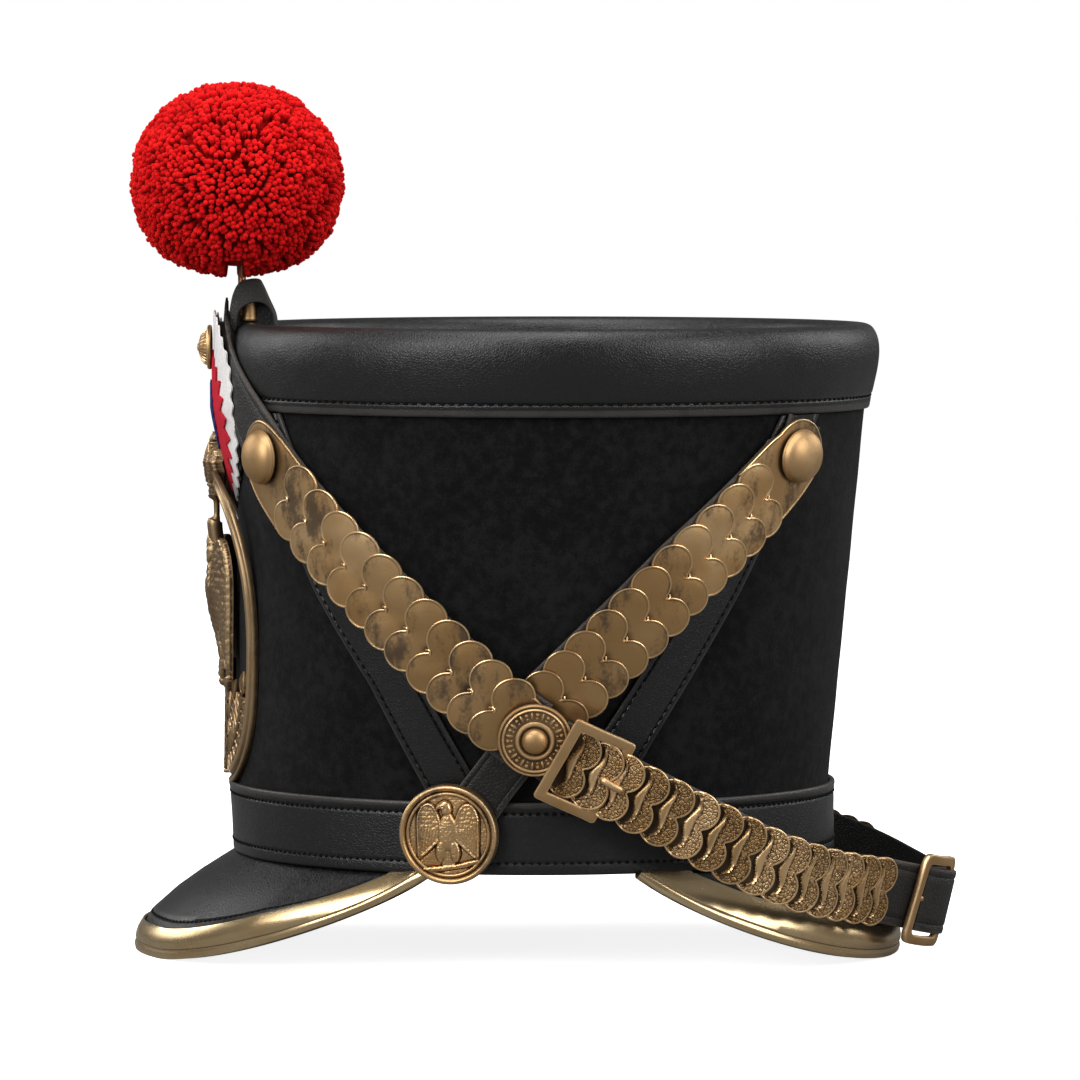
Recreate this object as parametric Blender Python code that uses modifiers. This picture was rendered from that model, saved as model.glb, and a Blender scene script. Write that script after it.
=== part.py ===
"""A parade shako: felt crown, leather bands and peaks, brass scale straps, plate, cockade and pompom.

The front of the hat is -Y, the wearer's left is +X, and the hat stands on z = 0.
Lengths are in millimetres until mesh_object scales a finished mesh to metres.
A "turn" is the angle round the crown, 0 at the front and 90 at the wearer's left.
A "lift" is a distance out from the felt's outer face.
"""

import math

import bmesh
import bpy
import numpy as np
from mathutils import Matrix, Vector

MM = 0.001
SHIFT_Y = -3.8  # puts the middle of the whole hat at y = 0
GAP = 0.3

# The felt's outer oval: height, centre in y, half depth in y, half width in x
CROWN_ROWS = np.array([
    (35.0, 0.5, 103.4, 84.8),
    (61.0, -0.3, 105.2, 86.2),
    (190.0, 6.7, 110.3, 108.6),
    (222.0, 8.4, 111.6, 112.2),
])
CROWN_STEPS = 40
FELT = 2.5
FELT_LOW = 35.4
FELT_TOP = 214.0

BAND_LOW = 35.4
BAND_TOP = 60.2
BAND_THICK = 1.9
TOP_BAND_LOW = 192.0
RIM_TOP = 221.6
DISC_TOP = 212.6
LEATHER = 1.6

# Peaks: an ellipse in plan for the rim, and a power law for how it climbs to the band
PEAK_THICK = 2.2
FRONT_PEAK = {"centre": -16.0, "wide": 86.0, "deep": -125.0, "flat": -131.0, "end": -36.0, "climb": 32.0,
              "power": 1.35, "turn": 77.8, "span": 0.9}
REAR_PEAK = {"centre": 40.7, "wide": 87.0, "deep": 89.0, "flat": 127.0, "end": 36.0, "climb": 32.0,
             "power": 1.4, "turn": 67.6, "span": 1.03}
PEAK_STEPS = 28
TRIM_COVER = 7.0
TRIM_UNDER = 4.0
TRIM_LIP = 2.4
TRIM_SHEET = 0.8
TRIM_GAP = 0.45

# Side reinforcements: turn and height down each centre line
CHEVRON_HALF = 9.8
CHEVRON_LEVELS = 12
CHEVRON_LIFT = 0.5
FRONT_CHEVRON = ((28.2, 191.6), (50.0, 131.0), (63.4, 100.0), (76.6, 60.9))
REAR_CHEVRON = ((139.5, 191.6), (122.5, 131.0), (107.0, 82.0), (101.0, 60.9))

# Strap routes: turn, height and lift of the leather's back
FRONT_STRAP = ((9.0, 210.2, 3.9), (17.0, 197.6, 3.5), (24.0, 186.6, 2.6), (30.4, 176.5, 2.4), (57.3, 134.9, 2.4),
               (72.0, 110.5, 4.2), (81.9, 94.0, 6.4), (88.8, 84.6, 6.6))
REAR_STRAP = ((139.5, 189.6, 2.7), (138.5, 183.0, 2.7), (134.9, 173.7, 2.7), (115.2, 139.6, 2.7),
              (91.0, 91.5, 2.7))
REAR_SCALES = ((142.0, 191.5, 2.7), (137.2, 177.7, 2.7), (115.2, 139.6, 2.7), (91.0, 91.5, 2.7))
STRAP_WIDE = 25.0
# Half widths of the straps' narrowed ends, by distance along the strap
FRONT_TAPER = [(0.0, 7.4), (10.0, 8.6), (22.0, 10.2), (34.0, 11.4)]
REAR_TAPER = [(0.0, 8.5), (9.0, 8.7)]
CHIN_WIDE = 23.0

# Scales: two round lobes side by side, each row lapping over the one before.
# start and pitch run from the rivet, or back from the far end; skew sets one lobe ahead of the other.
SCALES = {
    "front": {"start": 23.0, "pitch": 10.3, "count": 11, "radius": 7.1, "out": 6.8, "skew": -0.2, "middle": 0.7},
    "rear": {"start": 20.5, "pitch": 9.7, "count": 11, "radius": 6.9, "out": 6.8, "skew": 0.22, "middle": 1.0},
    "chin": {"start": 6.6, "pitch": 9.3, "count": 12, "radius": 6.6, "out": 5.6, "skew": 0.0, "middle": 0.0},
}
END_PLATE = ((-11.8, 4.5), (-9.4, 8.4), (-4.5, 11.0), (1.0, 12.0), (8.0, 12.6), (13.0, 11.0))
SCALE_LOW = 0.6
SCALE_HIGH = 1.7

# Chin strap: x, y and z down the middle of each side, from the boss round to the buckle at the back
CHIN_LEFT = ((97.0, 0.0, 83.0), (96.6, 18.5, 72.7), (95.6, 39.0, 61.8), (93.5, 56.0, 52.8), (89.6, 71.4, 44.2),
             (83.2, 86.5, 37.0), (74.5, 98.0, 32.3), (63.5, 109.0, 29.0), (51.5, 120.0, 26.2), (39.5, 130.0, 23.0),
             (27.5, 137.6, 20.2), (14.5, 143.2, 18.6))
CHIN_RIGHT = CHIN_LEFT[:7] + ((61.0, 111.0, 29.0), (42.0, 124.0, 25.0), (21.0, 134.0, 21.5), (0.0, 140.6, 19.4),
                              (-8.0, 142.6, 18.9), (-13.6, 143.7, 18.6))
CHIN_LEAN = 12.0
CHIN_START = 7.5
CHIN_SCALES_END = 150.9

# Buckles: middle along the chin strap, half length, half width, bar width, thickness, lift of each cross bar
SIDE_BUCKLE = (20.3, 11.7, 15.7, 3.7, 1.6, (6.0, 2.2))
REAR_BUCKLE = (177.4, 12.9, 16.2, 3.2, 2.4, (1.6, 1.6))

# Round fittings: turn, height and lift of the middle of the back
BOSS = (90.0, 83.0, 10.6)
SIDE_BUTTON = (75.6, 50.1, 5.0)
FRONT_RIVET = (31.4, 176.5, 6.3)
REAR_RIVET = (137.2, 177.7, 6.5)
BUTTON_TAB = ((86.5, 77.0, 3.0), (78.0, 54.5, 3.0))
BUTTON_TAB_HALF = 8.5
# Their turned profiles: radius and height, from the top of the middle round to the back
RIVET_PROFILE = ((0.0, 5.8), (4.8, 4.8), (8.0, 2.4), (9.4, 0.0), (0.0, 0.0))
BOSS_PROFILE = ((0.0, 5.2), (2.8, 4.4), (4.3, 2.2), (6.6, 2.6), (8.0, 1.9), (11.6, 2.4), (12.5, 1.2), (12.5, 0.0),
                (0.0, 0.0))
BUTTON_PROFILE = ((0.0, 4.0), (11.0, 3.2), (13.8, 2.4), (15.4, 4.0), (16.5, 2.6), (14.5, 0.0), (0.0, 0.0))
COCKADE_BUTTON_PROFILE = ((0.0, 4.6), (4.4, 3.7), (7.0, 1.9), (7.8, 0.0), (0.0, 0.0))

PLATE_MID = 115.2
PLATE_HIGH = 54.2
PLATE_HALF = 37.0
PLATE_RIM = 8.5
PLATE_STEPS = 32
PLATE_BEND = 103.0
# Section of the plate's rim: share of the way in, and height
PLATE_SECTION = ((0.0, 0.0), (0.1, 1.9), (0.36, 2.1), (0.5, 1.3), (0.68, 2.2), (0.95, 1.8), (1.0, 0.0))
WREATH_LEAVES = 10
WREATH_ARC = 82.0
WREATH_HALF = 9.5
# Eagle and crown: height, half width of the wings, half width and front of the body, back
EAGLE_ROWS = (
    (91.5, 4.0, 3.0, -108.6, -107.6),
    (97.0, 7.0, 6.0, -111.5, -106.6),
    (103.0, 12.0, 5.0, -110.8, -105.6),
    (112.0, 17.5, 6.5, -112.6, -105.6),
    (120.0, 20.5, 8.5, -114.6, -105.6),
    (128.0, 21.5, 9.5, -115.8, -105.8),
    (136.0, 20.5, 9.0, -115.2, -106.0),
    (143.0, 17.0, 7.5, -114.8, -106.6),
    (148.0, 10.0, 6.0, -114.8, -108.2),
    (151.6, 4.5, 4.5, -114.9, -109.9),
    (152.6, 2.0, 1.8, -112.9, -110.6),
    (159.0, 2.0, 1.8, -112.9, -110.6),
    (161.0, 5.0, 4.5, -114.6, -113.0),
    (166.0, 8.0, 6.5, -116.2, -113.4),
    (173.0, 8.5, 6.5, -116.4, -113.8),
    (179.0, 5.0, 4.0, -114.8, -113.6),
    (183.0, 2.5, 2.0, -113.9, -113.2),
)

COCKADE_MID = Vector((0.0, -111.8, 192.0))
COCKADE_R = 34.0
COCKADE_BEND = 70.0
COCKADE_TUCK = 5.0
COCKADE_STEPS = 32
BACKING_R = 26.0
BACKING_POINT = 11.4
COCKADE_BUTTON_Z = 212.9

POMPOM_MID = Vector((0.0, -104.3, 272.0))
POMPOM_WIDE = 37.9
POMPOM_HIGH = 34.7
STEM_MID_Y = -101.4
STEM_R = 1.4
TUBE_R = 2.6
SEAT_Z = 222.2
TUBE_LENGTH = 13.4
STEM_LENGTH = 12.6
# The leather loop on the rim: y and z down its outer side, then back along its inner side
LOOP_OUTER = ((-106.9, 217.6), (-106.7, 226.1), (-105.3, 231.0), (-103.6, 236.6), (-96.8, 236.9), (-94.3, 232.4),
              (-91.4, 227.6), (-90.3, 222.2), (-90.3, 216.5))
LOOP_INNER = ((-92.0, 216.5), (-92.0, 223.4), (-93.8, 227.2), (-97.2, 228.9), (-101.4, 228.4), (-104.3, 225.4),
              (-105.2, 217.6))

FINISHES = {
    "felt": ((0.012, 0.012, 0.013), 0.95, 0.0),
    "leather": ((0.02, 0.02, 0.022), 0.42, 0.0),
    "strap_leather": ((0.05, 0.032, 0.022), 0.6, 0.0),
    "old_brass": ((0.36, 0.24, 0.11), 0.42, 1.0),
    "bright_brass": ((0.62, 0.45, 0.18), 0.25, 1.0),
    "copper": ((0.55, 0.24, 0.13), 0.35, 1.0),
    "wool": ((0.65, 0.01, 0.015), 0.95, 0.0),
    "cockade_cloth": ((0.75, 0.72, 0.7), 0.85, 0.0),
}


def clear_scene():
    for obj in list(bpy.data.objects):
        bpy.data.objects.remove(obj, do_unlink=True)


def new_collection(name):
    collection = bpy.data.collections.new(name)
    bpy.context.scene.collection.children.link(collection)
    return collection


def finish_material(node, finish):
    """A material of the node's own, in one of the shared finishes."""
    colour, roughness, metallic = FINISHES[finish]
    material = bpy.data.materials.new(node)
    material.use_nodes = True
    shader = material.node_tree.nodes["Principled BSDF"]
    shader.inputs["Base Color"].default_value = (*colour, 1.0)
    shader.inputs["Roughness"].default_value = roughness
    shader.inputs["Metallic"].default_value = metallic
    return material


def mesh_object(name, bm, finish, smooth=40.0):
    """Turns a closed bmesh in millimetres into a named object in metres, its faces pointing out."""
    bmesh.ops.recalc_face_normals(bm, faces=bm.faces)
    bmesh.ops.scale(bm, vec=(MM, MM, MM), verts=bm.verts)
    bmesh.ops.translate(bm, vec=(0.0, SHIFT_Y * MM, 0.0), verts=bm.verts)
    mesh = bpy.data.meshes.new(name)
    bm.to_mesh(mesh)
    bm.free()
    mesh.shade_smooth()
    mesh.set_sharp_from_angle(angle=math.radians(smooth))
    mesh.materials.append(finish_material(name, finish))
    obj = bpy.data.objects.new(name, mesh)
    PARTS.objects.link(obj)
    return obj


def loft(rings, closed=False):
    """A bmesh skinned over section loops, either capped at both ends or closed on itself."""
    bm = bmesh.new()
    loops = [[bm.verts.new(point) for point in ring] for ring in rings]
    pairs = list(zip(loops, loops[1:]))
    if closed:
        pairs.append((loops[-1], loops[0]))
    else:
        bm.faces.new(loops[0])
        bm.faces.new(loops[-1])
    for low, high in pairs:
        for k in range(len(low)):
            after = (k + 1) % len(low)
            bm.faces.new((low[k], low[after], high[after], high[k]))
    return bm


def crown_oval(z):
    """Centre in y, half depth and half width of the felt's outer face at one height."""
    return [np.interp(z, CROWN_ROWS[:, 0], CROWN_ROWS[:, k]) for k in (1, 2, 3)]


def on_crown(turn, z, lift=0.0):
    centre, deep, wide = crown_oval(z)
    angle = math.radians(turn)
    normal = Vector((math.sin(angle) / wide, -math.cos(angle) / deep, 0.0)).normalized()
    return Vector((wide * math.sin(angle), centre - deep * math.cos(angle), z)) + normal * lift


def crown_frame(turn, z, lift, side=1):
    """Axes at a place on the crown: x round it, y up its slope, z outwards."""
    point = on_crown(turn, z, lift)
    around = on_crown(turn + 0.5, z, lift) - on_crown(turn - 0.5, z, lift)
    up = on_crown(turn, z + 1.0, lift) - on_crown(turn, z - 1.0, lift)
    out = around.cross(up).normalized()
    around.normalize()
    if side < 0:
        point.x, around.x, out.x = -point.x, -around.x, -out.x
        around = -around
    up = out.cross(around)
    frame = Matrix((around, up, out)).transposed().to_4x4()
    frame.translation = point
    return frame


def oval_ring(name, profile, finish, steps=CROWN_STEPS):
    """A closed section of (lift, height) points carried round the crown's oval."""
    rings = []
    for k in range(steps):
        turn = 360.0 * k / steps
        rings.append([on_crown(turn, z, lift) for lift, z in profile])
    return mesh_object(name, loft(rings, closed=True), finish)


def turned(name, profile, frame, finish, steps=24):
    """A profile of (radius, height) from the top centre down, spun by a Screw modifier."""
    mesh = bpy.data.meshes.new(name)
    points = [(radius * MM, 0.0, height * MM) for radius, height in profile]
    mesh.from_pydata(points, [(k, k + 1) for k in range(len(points) - 1)], [])
    mesh.materials.append(finish_material(name, finish))
    obj = bpy.data.objects.new(name, mesh)
    screw = obj.modifiers.new("turn", "SCREW")
    screw.steps = screw.render_steps = steps
    screw.use_merge_vertices = True
    screw.merge_threshold = 0.00001
    screw.use_smooth_shade = True
    placed = frame.copy()
    placed.translation = (frame.translation + Vector((0.0, SHIFT_Y, 0.0))) * MM
    obj.matrix_world = placed
    PARTS.objects.link(obj)
    return obj


def tube_between(low, high, outer, inner, finish, name, steps=16):
    """A straight tube, or a rod if it has no bore, between two points."""
    axis = (high - low).normalized()
    frame = axis.to_track_quat("Z", "Y").to_matrix().to_4x4()
    frame.translation = low
    length = (high - low).length
    if inner:
        profile = [(inner, length), (outer, length), (outer, 0.0), (inner, 0.0), (inner, length)]
    else:
        profile = [(0.0, length), (outer, length), (outer, 0.0), (0.0, 0.0)]
    return turned(name, profile, frame, finish, steps)


def route_length(rows):
    ends = [on_crown(row[0], row[1]) for row in rows]
    return sum((after - before).length for before, after in zip(ends, ends[1:]))


def crown_route(rows, side):
    """Length of a route over the crown, and a function that places (along, across, lift) on it."""
    turns, heights = [row[0] for row in rows], [row[1] for row in rows]
    lifts = [row[2] if len(row) > 2 else 0.0 for row in rows]
    spans = [route_length(rows[:k + 1]) for k in range(len(rows))]

    def middle(along):
        reach = min(max(along, 0.0), spans[-1])
        extra = (along - reach) / (spans[-1] - spans[-2] if along > reach else spans[1])
        turn, z = np.interp(reach, spans, turns), np.interp(reach, spans, heights)
        ends = (-2, -1) if along > reach else (0, 1)
        turn += extra * (turns[ends[1]] - turns[ends[0]])
        z += extra * (heights[ends[1]] - heights[ends[0]])
        return turn, z

    def place(along, across, lift):
        turn, z = middle(along)
        before, after = middle(along - 8.0), middle(along + 8.0)
        radius = (on_crown(turn + 0.5, z) - on_crown(turn - 0.5, z)).length
        heading = Vector(((after[0] - before[0]) * radius, after[1] - before[1])).normalized()
        turn += across * -heading.y / radius
        z += across * heading.x
        point = on_crown(turn, z, lift + np.interp(along, spans, lifts))
        return Vector((side * point.x, point.y, point.z))

    return spans[-1], place


def smooth_path(rows, steps=12):
    """Points of a smooth curve through the rows, for arc lengths along it."""
    ends = [Vector(row) for row in rows]
    ends = [2 * ends[0] - ends[1]] + ends + [2 * ends[-1] - ends[-2]]
    path = []
    for a, b, c, d in zip(ends, ends[1:], ends[2:], ends[3:]):
        for k in range(steps):
            t = k / steps
            path.append(0.5 * (2 * b + (c - a) * t + (2 * a - 5 * b + 4 * c - d) * t ** 2
                               + (3 * b - a - 3 * c + d) * t ** 3))
    return path + [ends[-2]]


def chin_route(rows, side):
    """Length of a chin strap from the boss to its end, and a function that places points on it."""
    path = smooth_path(rows)
    spans = np.concatenate([[0.0], np.cumsum([(b - a).length for a, b in zip(path, path[1:])])])
    table = np.array([tuple(point) for point in path])

    def middle(along):
        return Vector([float(np.interp(along, spans, table[:, k])) for k in range(3)])

    def place(along, across, lift):
        heading = (middle(min(along + 5.0, spans[-1])) - middle(max(along - 5.0, 0.0))).normalized()
        level = Vector((heading.y, -heading.x, 0.0)).normalized()
        lean = math.radians(CHIN_LEAN)
        out = level * math.cos(lean) - Vector((0.0, 0.0, math.sin(lean)))
        up = heading.cross(out).normalized()
        if up.z < 0.0:
            up = -up
        point = middle(along) + up * across + out * lift
        return Vector((side * point.x, point.y, point.z))

    return spans[-1], place


def strap(name, place, stations, finish, thick=LEATHER, columns=3):
    """A flat strap along a route, from (along, half width) stations."""
    rings = []
    for along, half in stations:
        across = np.linspace(-half, half, columns)
        outer = [place(along, v, thick) for v in across]
        inner = [place(along, v, 0.0) for v in across[::-1]]
        rings.append(outer + inner)
    return mesh_object(name, loft(rings), finish)


def even_stations(start, end, count, half):
    return [(along, half) for along in np.linspace(start, end, count)]


def scale_rows(scales, lead=()):
    """Rows of (along, across, height) over a strip of lapped two-lobed scales.

    lead holds (along, half width) rows of the plain end plate before the first scale.
    """
    shares = (-1.0, -0.55, 0.0, 0.55, 1.0)
    radius, out, pitch, middle = scales["radius"], scales["out"], scales["pitch"], scales["middle"]
    waist = out + math.sqrt(radius ** 2 - (pitch / 2) ** 2)
    rows = [[(along, half * share + middle, SCALE_HIGH * 0.8) for share in shares] for along, half in lead]

    def across(along, half, height):
        return [(along + scales["skew"] * half * share, half * share + middle, height) for share in shares]

    for k in range(scales["count"]):
        centre = scales["start"] + k * pitch
        edge = []
        for s, v, height in across(centre, waist, SCALE_LOW):
            dip = radius ** 2 - (abs(v - middle) - out) ** 2
            edge.append((s - math.sqrt(max(dip, 4.0)), v, height))
        rows.append(edge)
        rows.append([(s + 0.3, v, SCALE_HIGH) for s, v, height in edge])
        rows.append(across(centre + 0.8, out + radius, 1.15))
    rows.append(across(centre + pitch / 2, waist, SCALE_LOW))
    return rows


def scale_strip(name, place, rows, finish="old_brass"):
    """One closed strip whose top steps up at each lobed edge and whose back is plain."""
    rings = []
    for row in rows:
        first, last = row[0], row[-1]
        mid = (row[len(row) // 2][0], 0.0)
        top = [place(*point) for point in row]
        back = [place(last[0], last[1], 0.0), place(*mid, 0.0), place(first[0], first[1], 0.0)]
        rings.append(top + back)
    return mesh_object(name, loft(rings), finish, smooth=25.0)


def lifted(place, rise):
    return lambda along, across, lift: place(along, across, lift + rise)


def build_crown():
    oval_ring("crown_shell", [(0.0, FELT_LOW), (0.0, 61.0), (0.0, 190.0), (0.0, FELT_TOP),
                              (-FELT, FELT_TOP), (-FELT, 61.0), (-FELT, FELT_LOW)], "felt")
    oval_ring("base_band", [(GAP, BAND_LOW), (BAND_THICK, BAND_LOW), (BAND_THICK + 0.1, BAND_TOP - 1.6),
                            (BAND_THICK + 0.4, BAND_TOP), (GAP, BAND_TOP)], "leather")
    oval_ring("top_band", [(GAP, TOP_BAND_LOW), (1.7, TOP_BAND_LOW), (2.2, 198.0), (3.4, 208.0), (2.6, 216.0),
                           (0.0, 220.2), (-4.0, RIM_TOP), (-8.0, 218.6), (-8.4, 206.5), (-6.8, 206.5),
                           (-3.8, 214.8), (GAP, 214.8)], "leather")
    rings = []
    for z in (DISC_TOP - 2.4, DISC_TOP):
        rings.append([on_crown(360.0 * k / CROWN_STEPS, z, -9.0) for k in range(CROWN_STEPS)])
    mesh_object("crown_top", loft(rings), "leather")


def peak_rim(peak, share):
    """Lowest rim point of a peak at a share from -1 to 1 round it."""
    angle = share * math.pi / 2
    x = peak["wide"] * math.sin(angle)
    y = peak["centre"] + peak["deep"] * math.cos(angle)
    climbed = (y - peak["flat"]) / (peak["end"] - peak["flat"])
    return Vector((x, y, peak["climb"] * max(0.0, climbed) ** peak["power"]))


def peak_section(peak, share):
    """The rim point, the way up the slope, the way out of the leather, and the slope's length."""
    rim = peak_rim(peak, share)
    turn = peak["turn"] * share
    if peak["deep"] > 0.0:
        turn = 180.0 - turn
    slope = on_crown(turn, FELT_LOW - 1.6, -1.2) - rim
    reach = slope.length
    slope.normalize()
    along = peak_rim(peak, share + 0.01) - peak_rim(peak, share - 0.01)
    out = slope.cross(along).normalized()
    return rim, slope, out if out.z > 0.0 else -out, reach


def build_peak(name, peak):
    """The leather sheet, and the brass trim folded over its rim."""
    half = PEAK_THICK / 2
    inner = half + TRIM_GAP
    outer = inner + TRIM_SHEET
    top = FELT_LOW - GAP
    sheet, trim = [], []
    for k in range(PEAK_STEPS + 1):
        rim, slope, out, reach = peak_section(peak, peak["span"] * (2.0 * k / PEAK_STEPS - 1.0))
        core = rim + slope * TRIM_LIP + Vector((0.0, 0.0, outer * out.z - TRIM_LIP * slope.z - 0.25))

        def at(along, rise):
            point = core + slope * along + out * rise
            return Vector((point.x, point.y, min(max(point.z, rim.z), top)))

        length = max(reach - TRIM_LIP, 2.6)
        cover = min(TRIM_COVER, length - 1.2)
        under = min(TRIM_UNDER, length - 1.2)
        sheet.append([at(0.3, -half), at(0.3, half), at(length, half), at(length, -half)])
        for point in sheet[-1]:
            point.z = min(point.z, top - 0.7)
        trim.append([at(cover, inner), at(cover, outer), at(0.0, outer), at(-2.2, 0.2), at(-1.0, -outer),
                     at(under, -outer), at(under, -inner), at(0.0, -inner), at(0.0, inner)])
    mesh_object(name, loft(sheet), "leather")
    mesh_object(name + "_trim", loft(trim), "bright_brass", smooth=30.0)


def build_chevron(name, rows, side):
    """A flat reinforcement with level ends, wide as CHEVRON_HALF on each side of its middle line."""
    turns, heights = [row[0] for row in rows], [row[1] for row in rows]
    rings = []
    for z in np.linspace(heights[-1], heights[0], CHEVRON_LEVELS):
        middle = float(np.interp(z, heights[::-1], turns[::-1]))
        radius = (on_crown(middle + 0.5, z) - on_crown(middle - 0.5, z)).length
        spread = [middle + step * CHEVRON_HALF / radius for step in (-1.0, 0.0, 1.0)]
        ring = [on_crown(turn, z, CHEVRON_LIFT + LEATHER) for turn in spread]
        ring += [on_crown(turn, z, CHEVRON_LIFT) for turn in spread[::-1]]
        rings.append([Vector((side * point.x, point.y, point.z)) for point in ring])
    mesh_object(name, loft(rings), "leather")


def build_side(side, word):
    """Everything that is repeated on both sides of the crown."""
    build_chevron(f"front_chevron_{word}", FRONT_CHEVRON, side)
    build_chevron(f"rear_chevron_{word}", REAR_CHEVRON, side)

    length, place = crown_route(FRONT_STRAP, side)
    stations = FRONT_TAPER + even_stations(44.0, length, 10, STRAP_WIDE / 2)
    strap(f"front_strap_{word}", place, stations, "strap_leather")
    crown_scales(f"front_scales_{word}", place, route_length(FRONT_STRAP[:4]), scale_rows(SCALES["front"], END_PLATE))

    length, place = crown_route(REAR_STRAP, side)
    stations = REAR_TAPER + even_stations(20.0, length, 8, STRAP_WIDE / 2)
    strap(f"rear_strap_{word}", place, stations, "strap_leather")
    place = crown_route(REAR_SCALES, side)[1]
    crown_scales(f"rear_scales_{word}", place, route_length(REAR_SCALES[:2]), scale_rows(SCALES["rear"], END_PLATE[:-1]))

    build_fittings(side, word)
    build_chin(side, word)


def crown_scales(name, place, rivet_at, rows):
    """A scale strip lying on the leather of a strap, its rows measured from the rivet."""
    raised = lifted(place, LEATHER + GAP)
    scale_strip(name, lambda along, across, lift: raised(along + rivet_at, across, lift), rows)


def build_fittings(side, word):
    turned(f"front_rivet_{word}", RIVET_PROFILE, crown_frame(*FRONT_RIVET, side), "old_brass", steps=16)
    turned(f"rear_rivet_{word}", RIVET_PROFILE, crown_frame(*REAR_RIVET, side), "old_brass", steps=16)
    turned(f"boss_disc_{word}", BOSS_PROFILE, crown_frame(*BOSS, side), "old_brass", steps=16)
    turned(f"side_button_{word}", BUTTON_PROFILE, crown_frame(*SIDE_BUTTON, side), "old_brass", steps=20)
    length, place = crown_route(BUTTON_TAB, side)
    strap(f"button_tab_{word}", place, even_stations(0.0, length, 5, BUTTON_TAB_HALF), "strap_leather", thick=1.3)


def frame_buckle(name, place, middle, half_along, half_across, bar, thick, lifts):
    """A four-bar frame lying on a strap, its two cross bars at their own lifts."""
    rings = []
    for sign_s, sign_v in ((-1, -1), (1, -1), (1, 1), (-1, 1)):
        rise = lifts[0] if sign_s < 0 else lifts[1]
        outer = (middle + sign_s * half_along, sign_v * half_across)
        inner = (middle + sign_s * (half_along - bar), sign_v * (half_across - bar))
        rings.append([place(*outer, rise), place(*inner, rise), place(*inner, rise + thick),
                      place(*outer, rise + thick)])
    return mesh_object(name, loft(rings, closed=True), "old_brass")


def build_chin(side, word):
    """A chin strap with its scales, whose lobes face away from the boss, and its buckles."""
    length, place = chin_route(CHIN_LEFT if side > 0 else CHIN_RIGHT, side)
    strap(f"chin_strap_{word}", lifted(place, -0.6), even_stations(CHIN_START, length, 22, CHIN_WIDE / 2),
          "strap_leather")
    raised = lifted(place, LEATHER - 0.6 + GAP)
    scale_strip(f"chin_scales_{word}", lambda along, across, lift: raised(CHIN_SCALES_END - along, across, lift),
                scale_rows(SCALES["chin"]))
    frame_buckle(f"side_buckle_{word}", place, *SIDE_BUCKLE)
    if side > 0:
        frame_buckle("rear_buckle", place, *REAR_BUCKLE)


def plate_lift(z):
    """How far the plate's back stands off the felt: close low down, proud where it meets the cockade."""
    rise = max(0.0, (z - PLATE_MID) / PLATE_HIGH)
    return 1.0 + 6.6 * rise ** 2


def build_plate():
    """An open oval frame with two raised beads, bent round the front of the crown."""
    rings = []
    for k in range(PLATE_STEPS):
        angle = 2.0 * math.pi * k / PLATE_STEPS
        ring = []
        for share, rise in PLATE_SECTION:
            half = PLATE_HALF - PLATE_RIM * share
            high = PLATE_HIGH - PLATE_RIM * share
            z = PLATE_MID + high * math.cos(angle)
            turn = math.degrees(half * math.sin(angle) / PLATE_BEND)
            ring.append(on_crown(turn, z, plate_lift(z) + rise))
        rings.append(ring)
    mesh_object("plate_frame", loft(rings, closed=True), "old_brass", smooth=30.0)
    build_wreath()
    build_eagle()


def build_wreath():
    """Laurel that fills the bottom of the oval: a crescent with a row of leaf bumps down each arm."""
    rings = []
    for k in range(2 * WREATH_LEAVES + 1):
        share = k / WREATH_LEAVES - 1.0
        angle = math.pi + share * math.radians(WREATH_ARC)
        bump = 0.5 + 0.5 * math.cos(k * math.pi)
        half = WREATH_HALF * (1.0 - 0.75 * abs(share) ** 2) * (0.8 + 0.2 * bump)
        ring = []
        for across, rise in ((1.0, 0.0), (1.0, 0.9), (0.4, 2.6 + bump), (-0.4, 2.6 + bump), (-1.0, 0.9), (-1.0, 0.0)):
            wide = PLATE_HALF - PLATE_RIM - GAP - half + across * half
            high = PLATE_HIGH - PLATE_RIM - GAP - half + across * half
            z = PLATE_MID + high * math.cos(angle)
            turn = math.degrees(wide * math.sin(angle) / PLATE_BEND)
            ring.append(on_crown(turn, z, 0.6 + rise))
        rings.append(ring)
    mesh_object("plate_wreath", loft(rings), "old_brass", smooth=30.0)


def build_eagle():
    rings = []
    for z, wing, body, front, back in EAGLE_ROWS:
        depth = front - back
        ring = []
        for x, share in ((1.0, 0.25), (0.7, 0.45), (body / wing, 0.6), (0.4 * body / wing, 1.0)):
            ring.append(Vector((x * wing, back + depth * share, z)))
        ring += [Vector((-point.x, point.y, point.z)) for point in ring[::-1]]
        ring += [Vector((-wing, back + 0.35, z)), Vector((wing, back + 0.35, z))]
        rings.append(ring)
    mesh_object("plate_eagle", loft(rings), "old_brass", smooth=30.0)


def cockade_point(radius, angle, lift):
    """A point of a disc that is bent about an upright line behind it and tucks in at the bottom."""
    x, rise = radius * math.sin(angle), radius * math.cos(angle)
    bend = COCKADE_BEND + lift
    y = COCKADE_MID.y + COCKADE_BEND - bend * math.cos(x / COCKADE_BEND)
    y += COCKADE_TUCK * (max(0.0, -rise) / COCKADE_R) ** 2
    return Vector((bend * math.sin(x / COCKADE_BEND), y, COCKADE_MID.z + rise))


def fan(name, radii, lift, thick, finish, edge):
    """A thin bent disc with a small hole, its outline given by edge(step, angle)."""
    loops = []
    for radius, rise in [(r, lift) for r in radii] + [(r, lift - thick) for r in radii[::-1]]:
        loop = []
        for k in range(COCKADE_STEPS):
            angle = 2.0 * math.pi * k / COCKADE_STEPS
            loop.append(cockade_point(edge(k, angle) if radius == radii[-1] else radius, angle, rise))
        loops.append(loop)
    return mesh_object(name, loft(loops, closed=True), finish, smooth=30.0)


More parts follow.
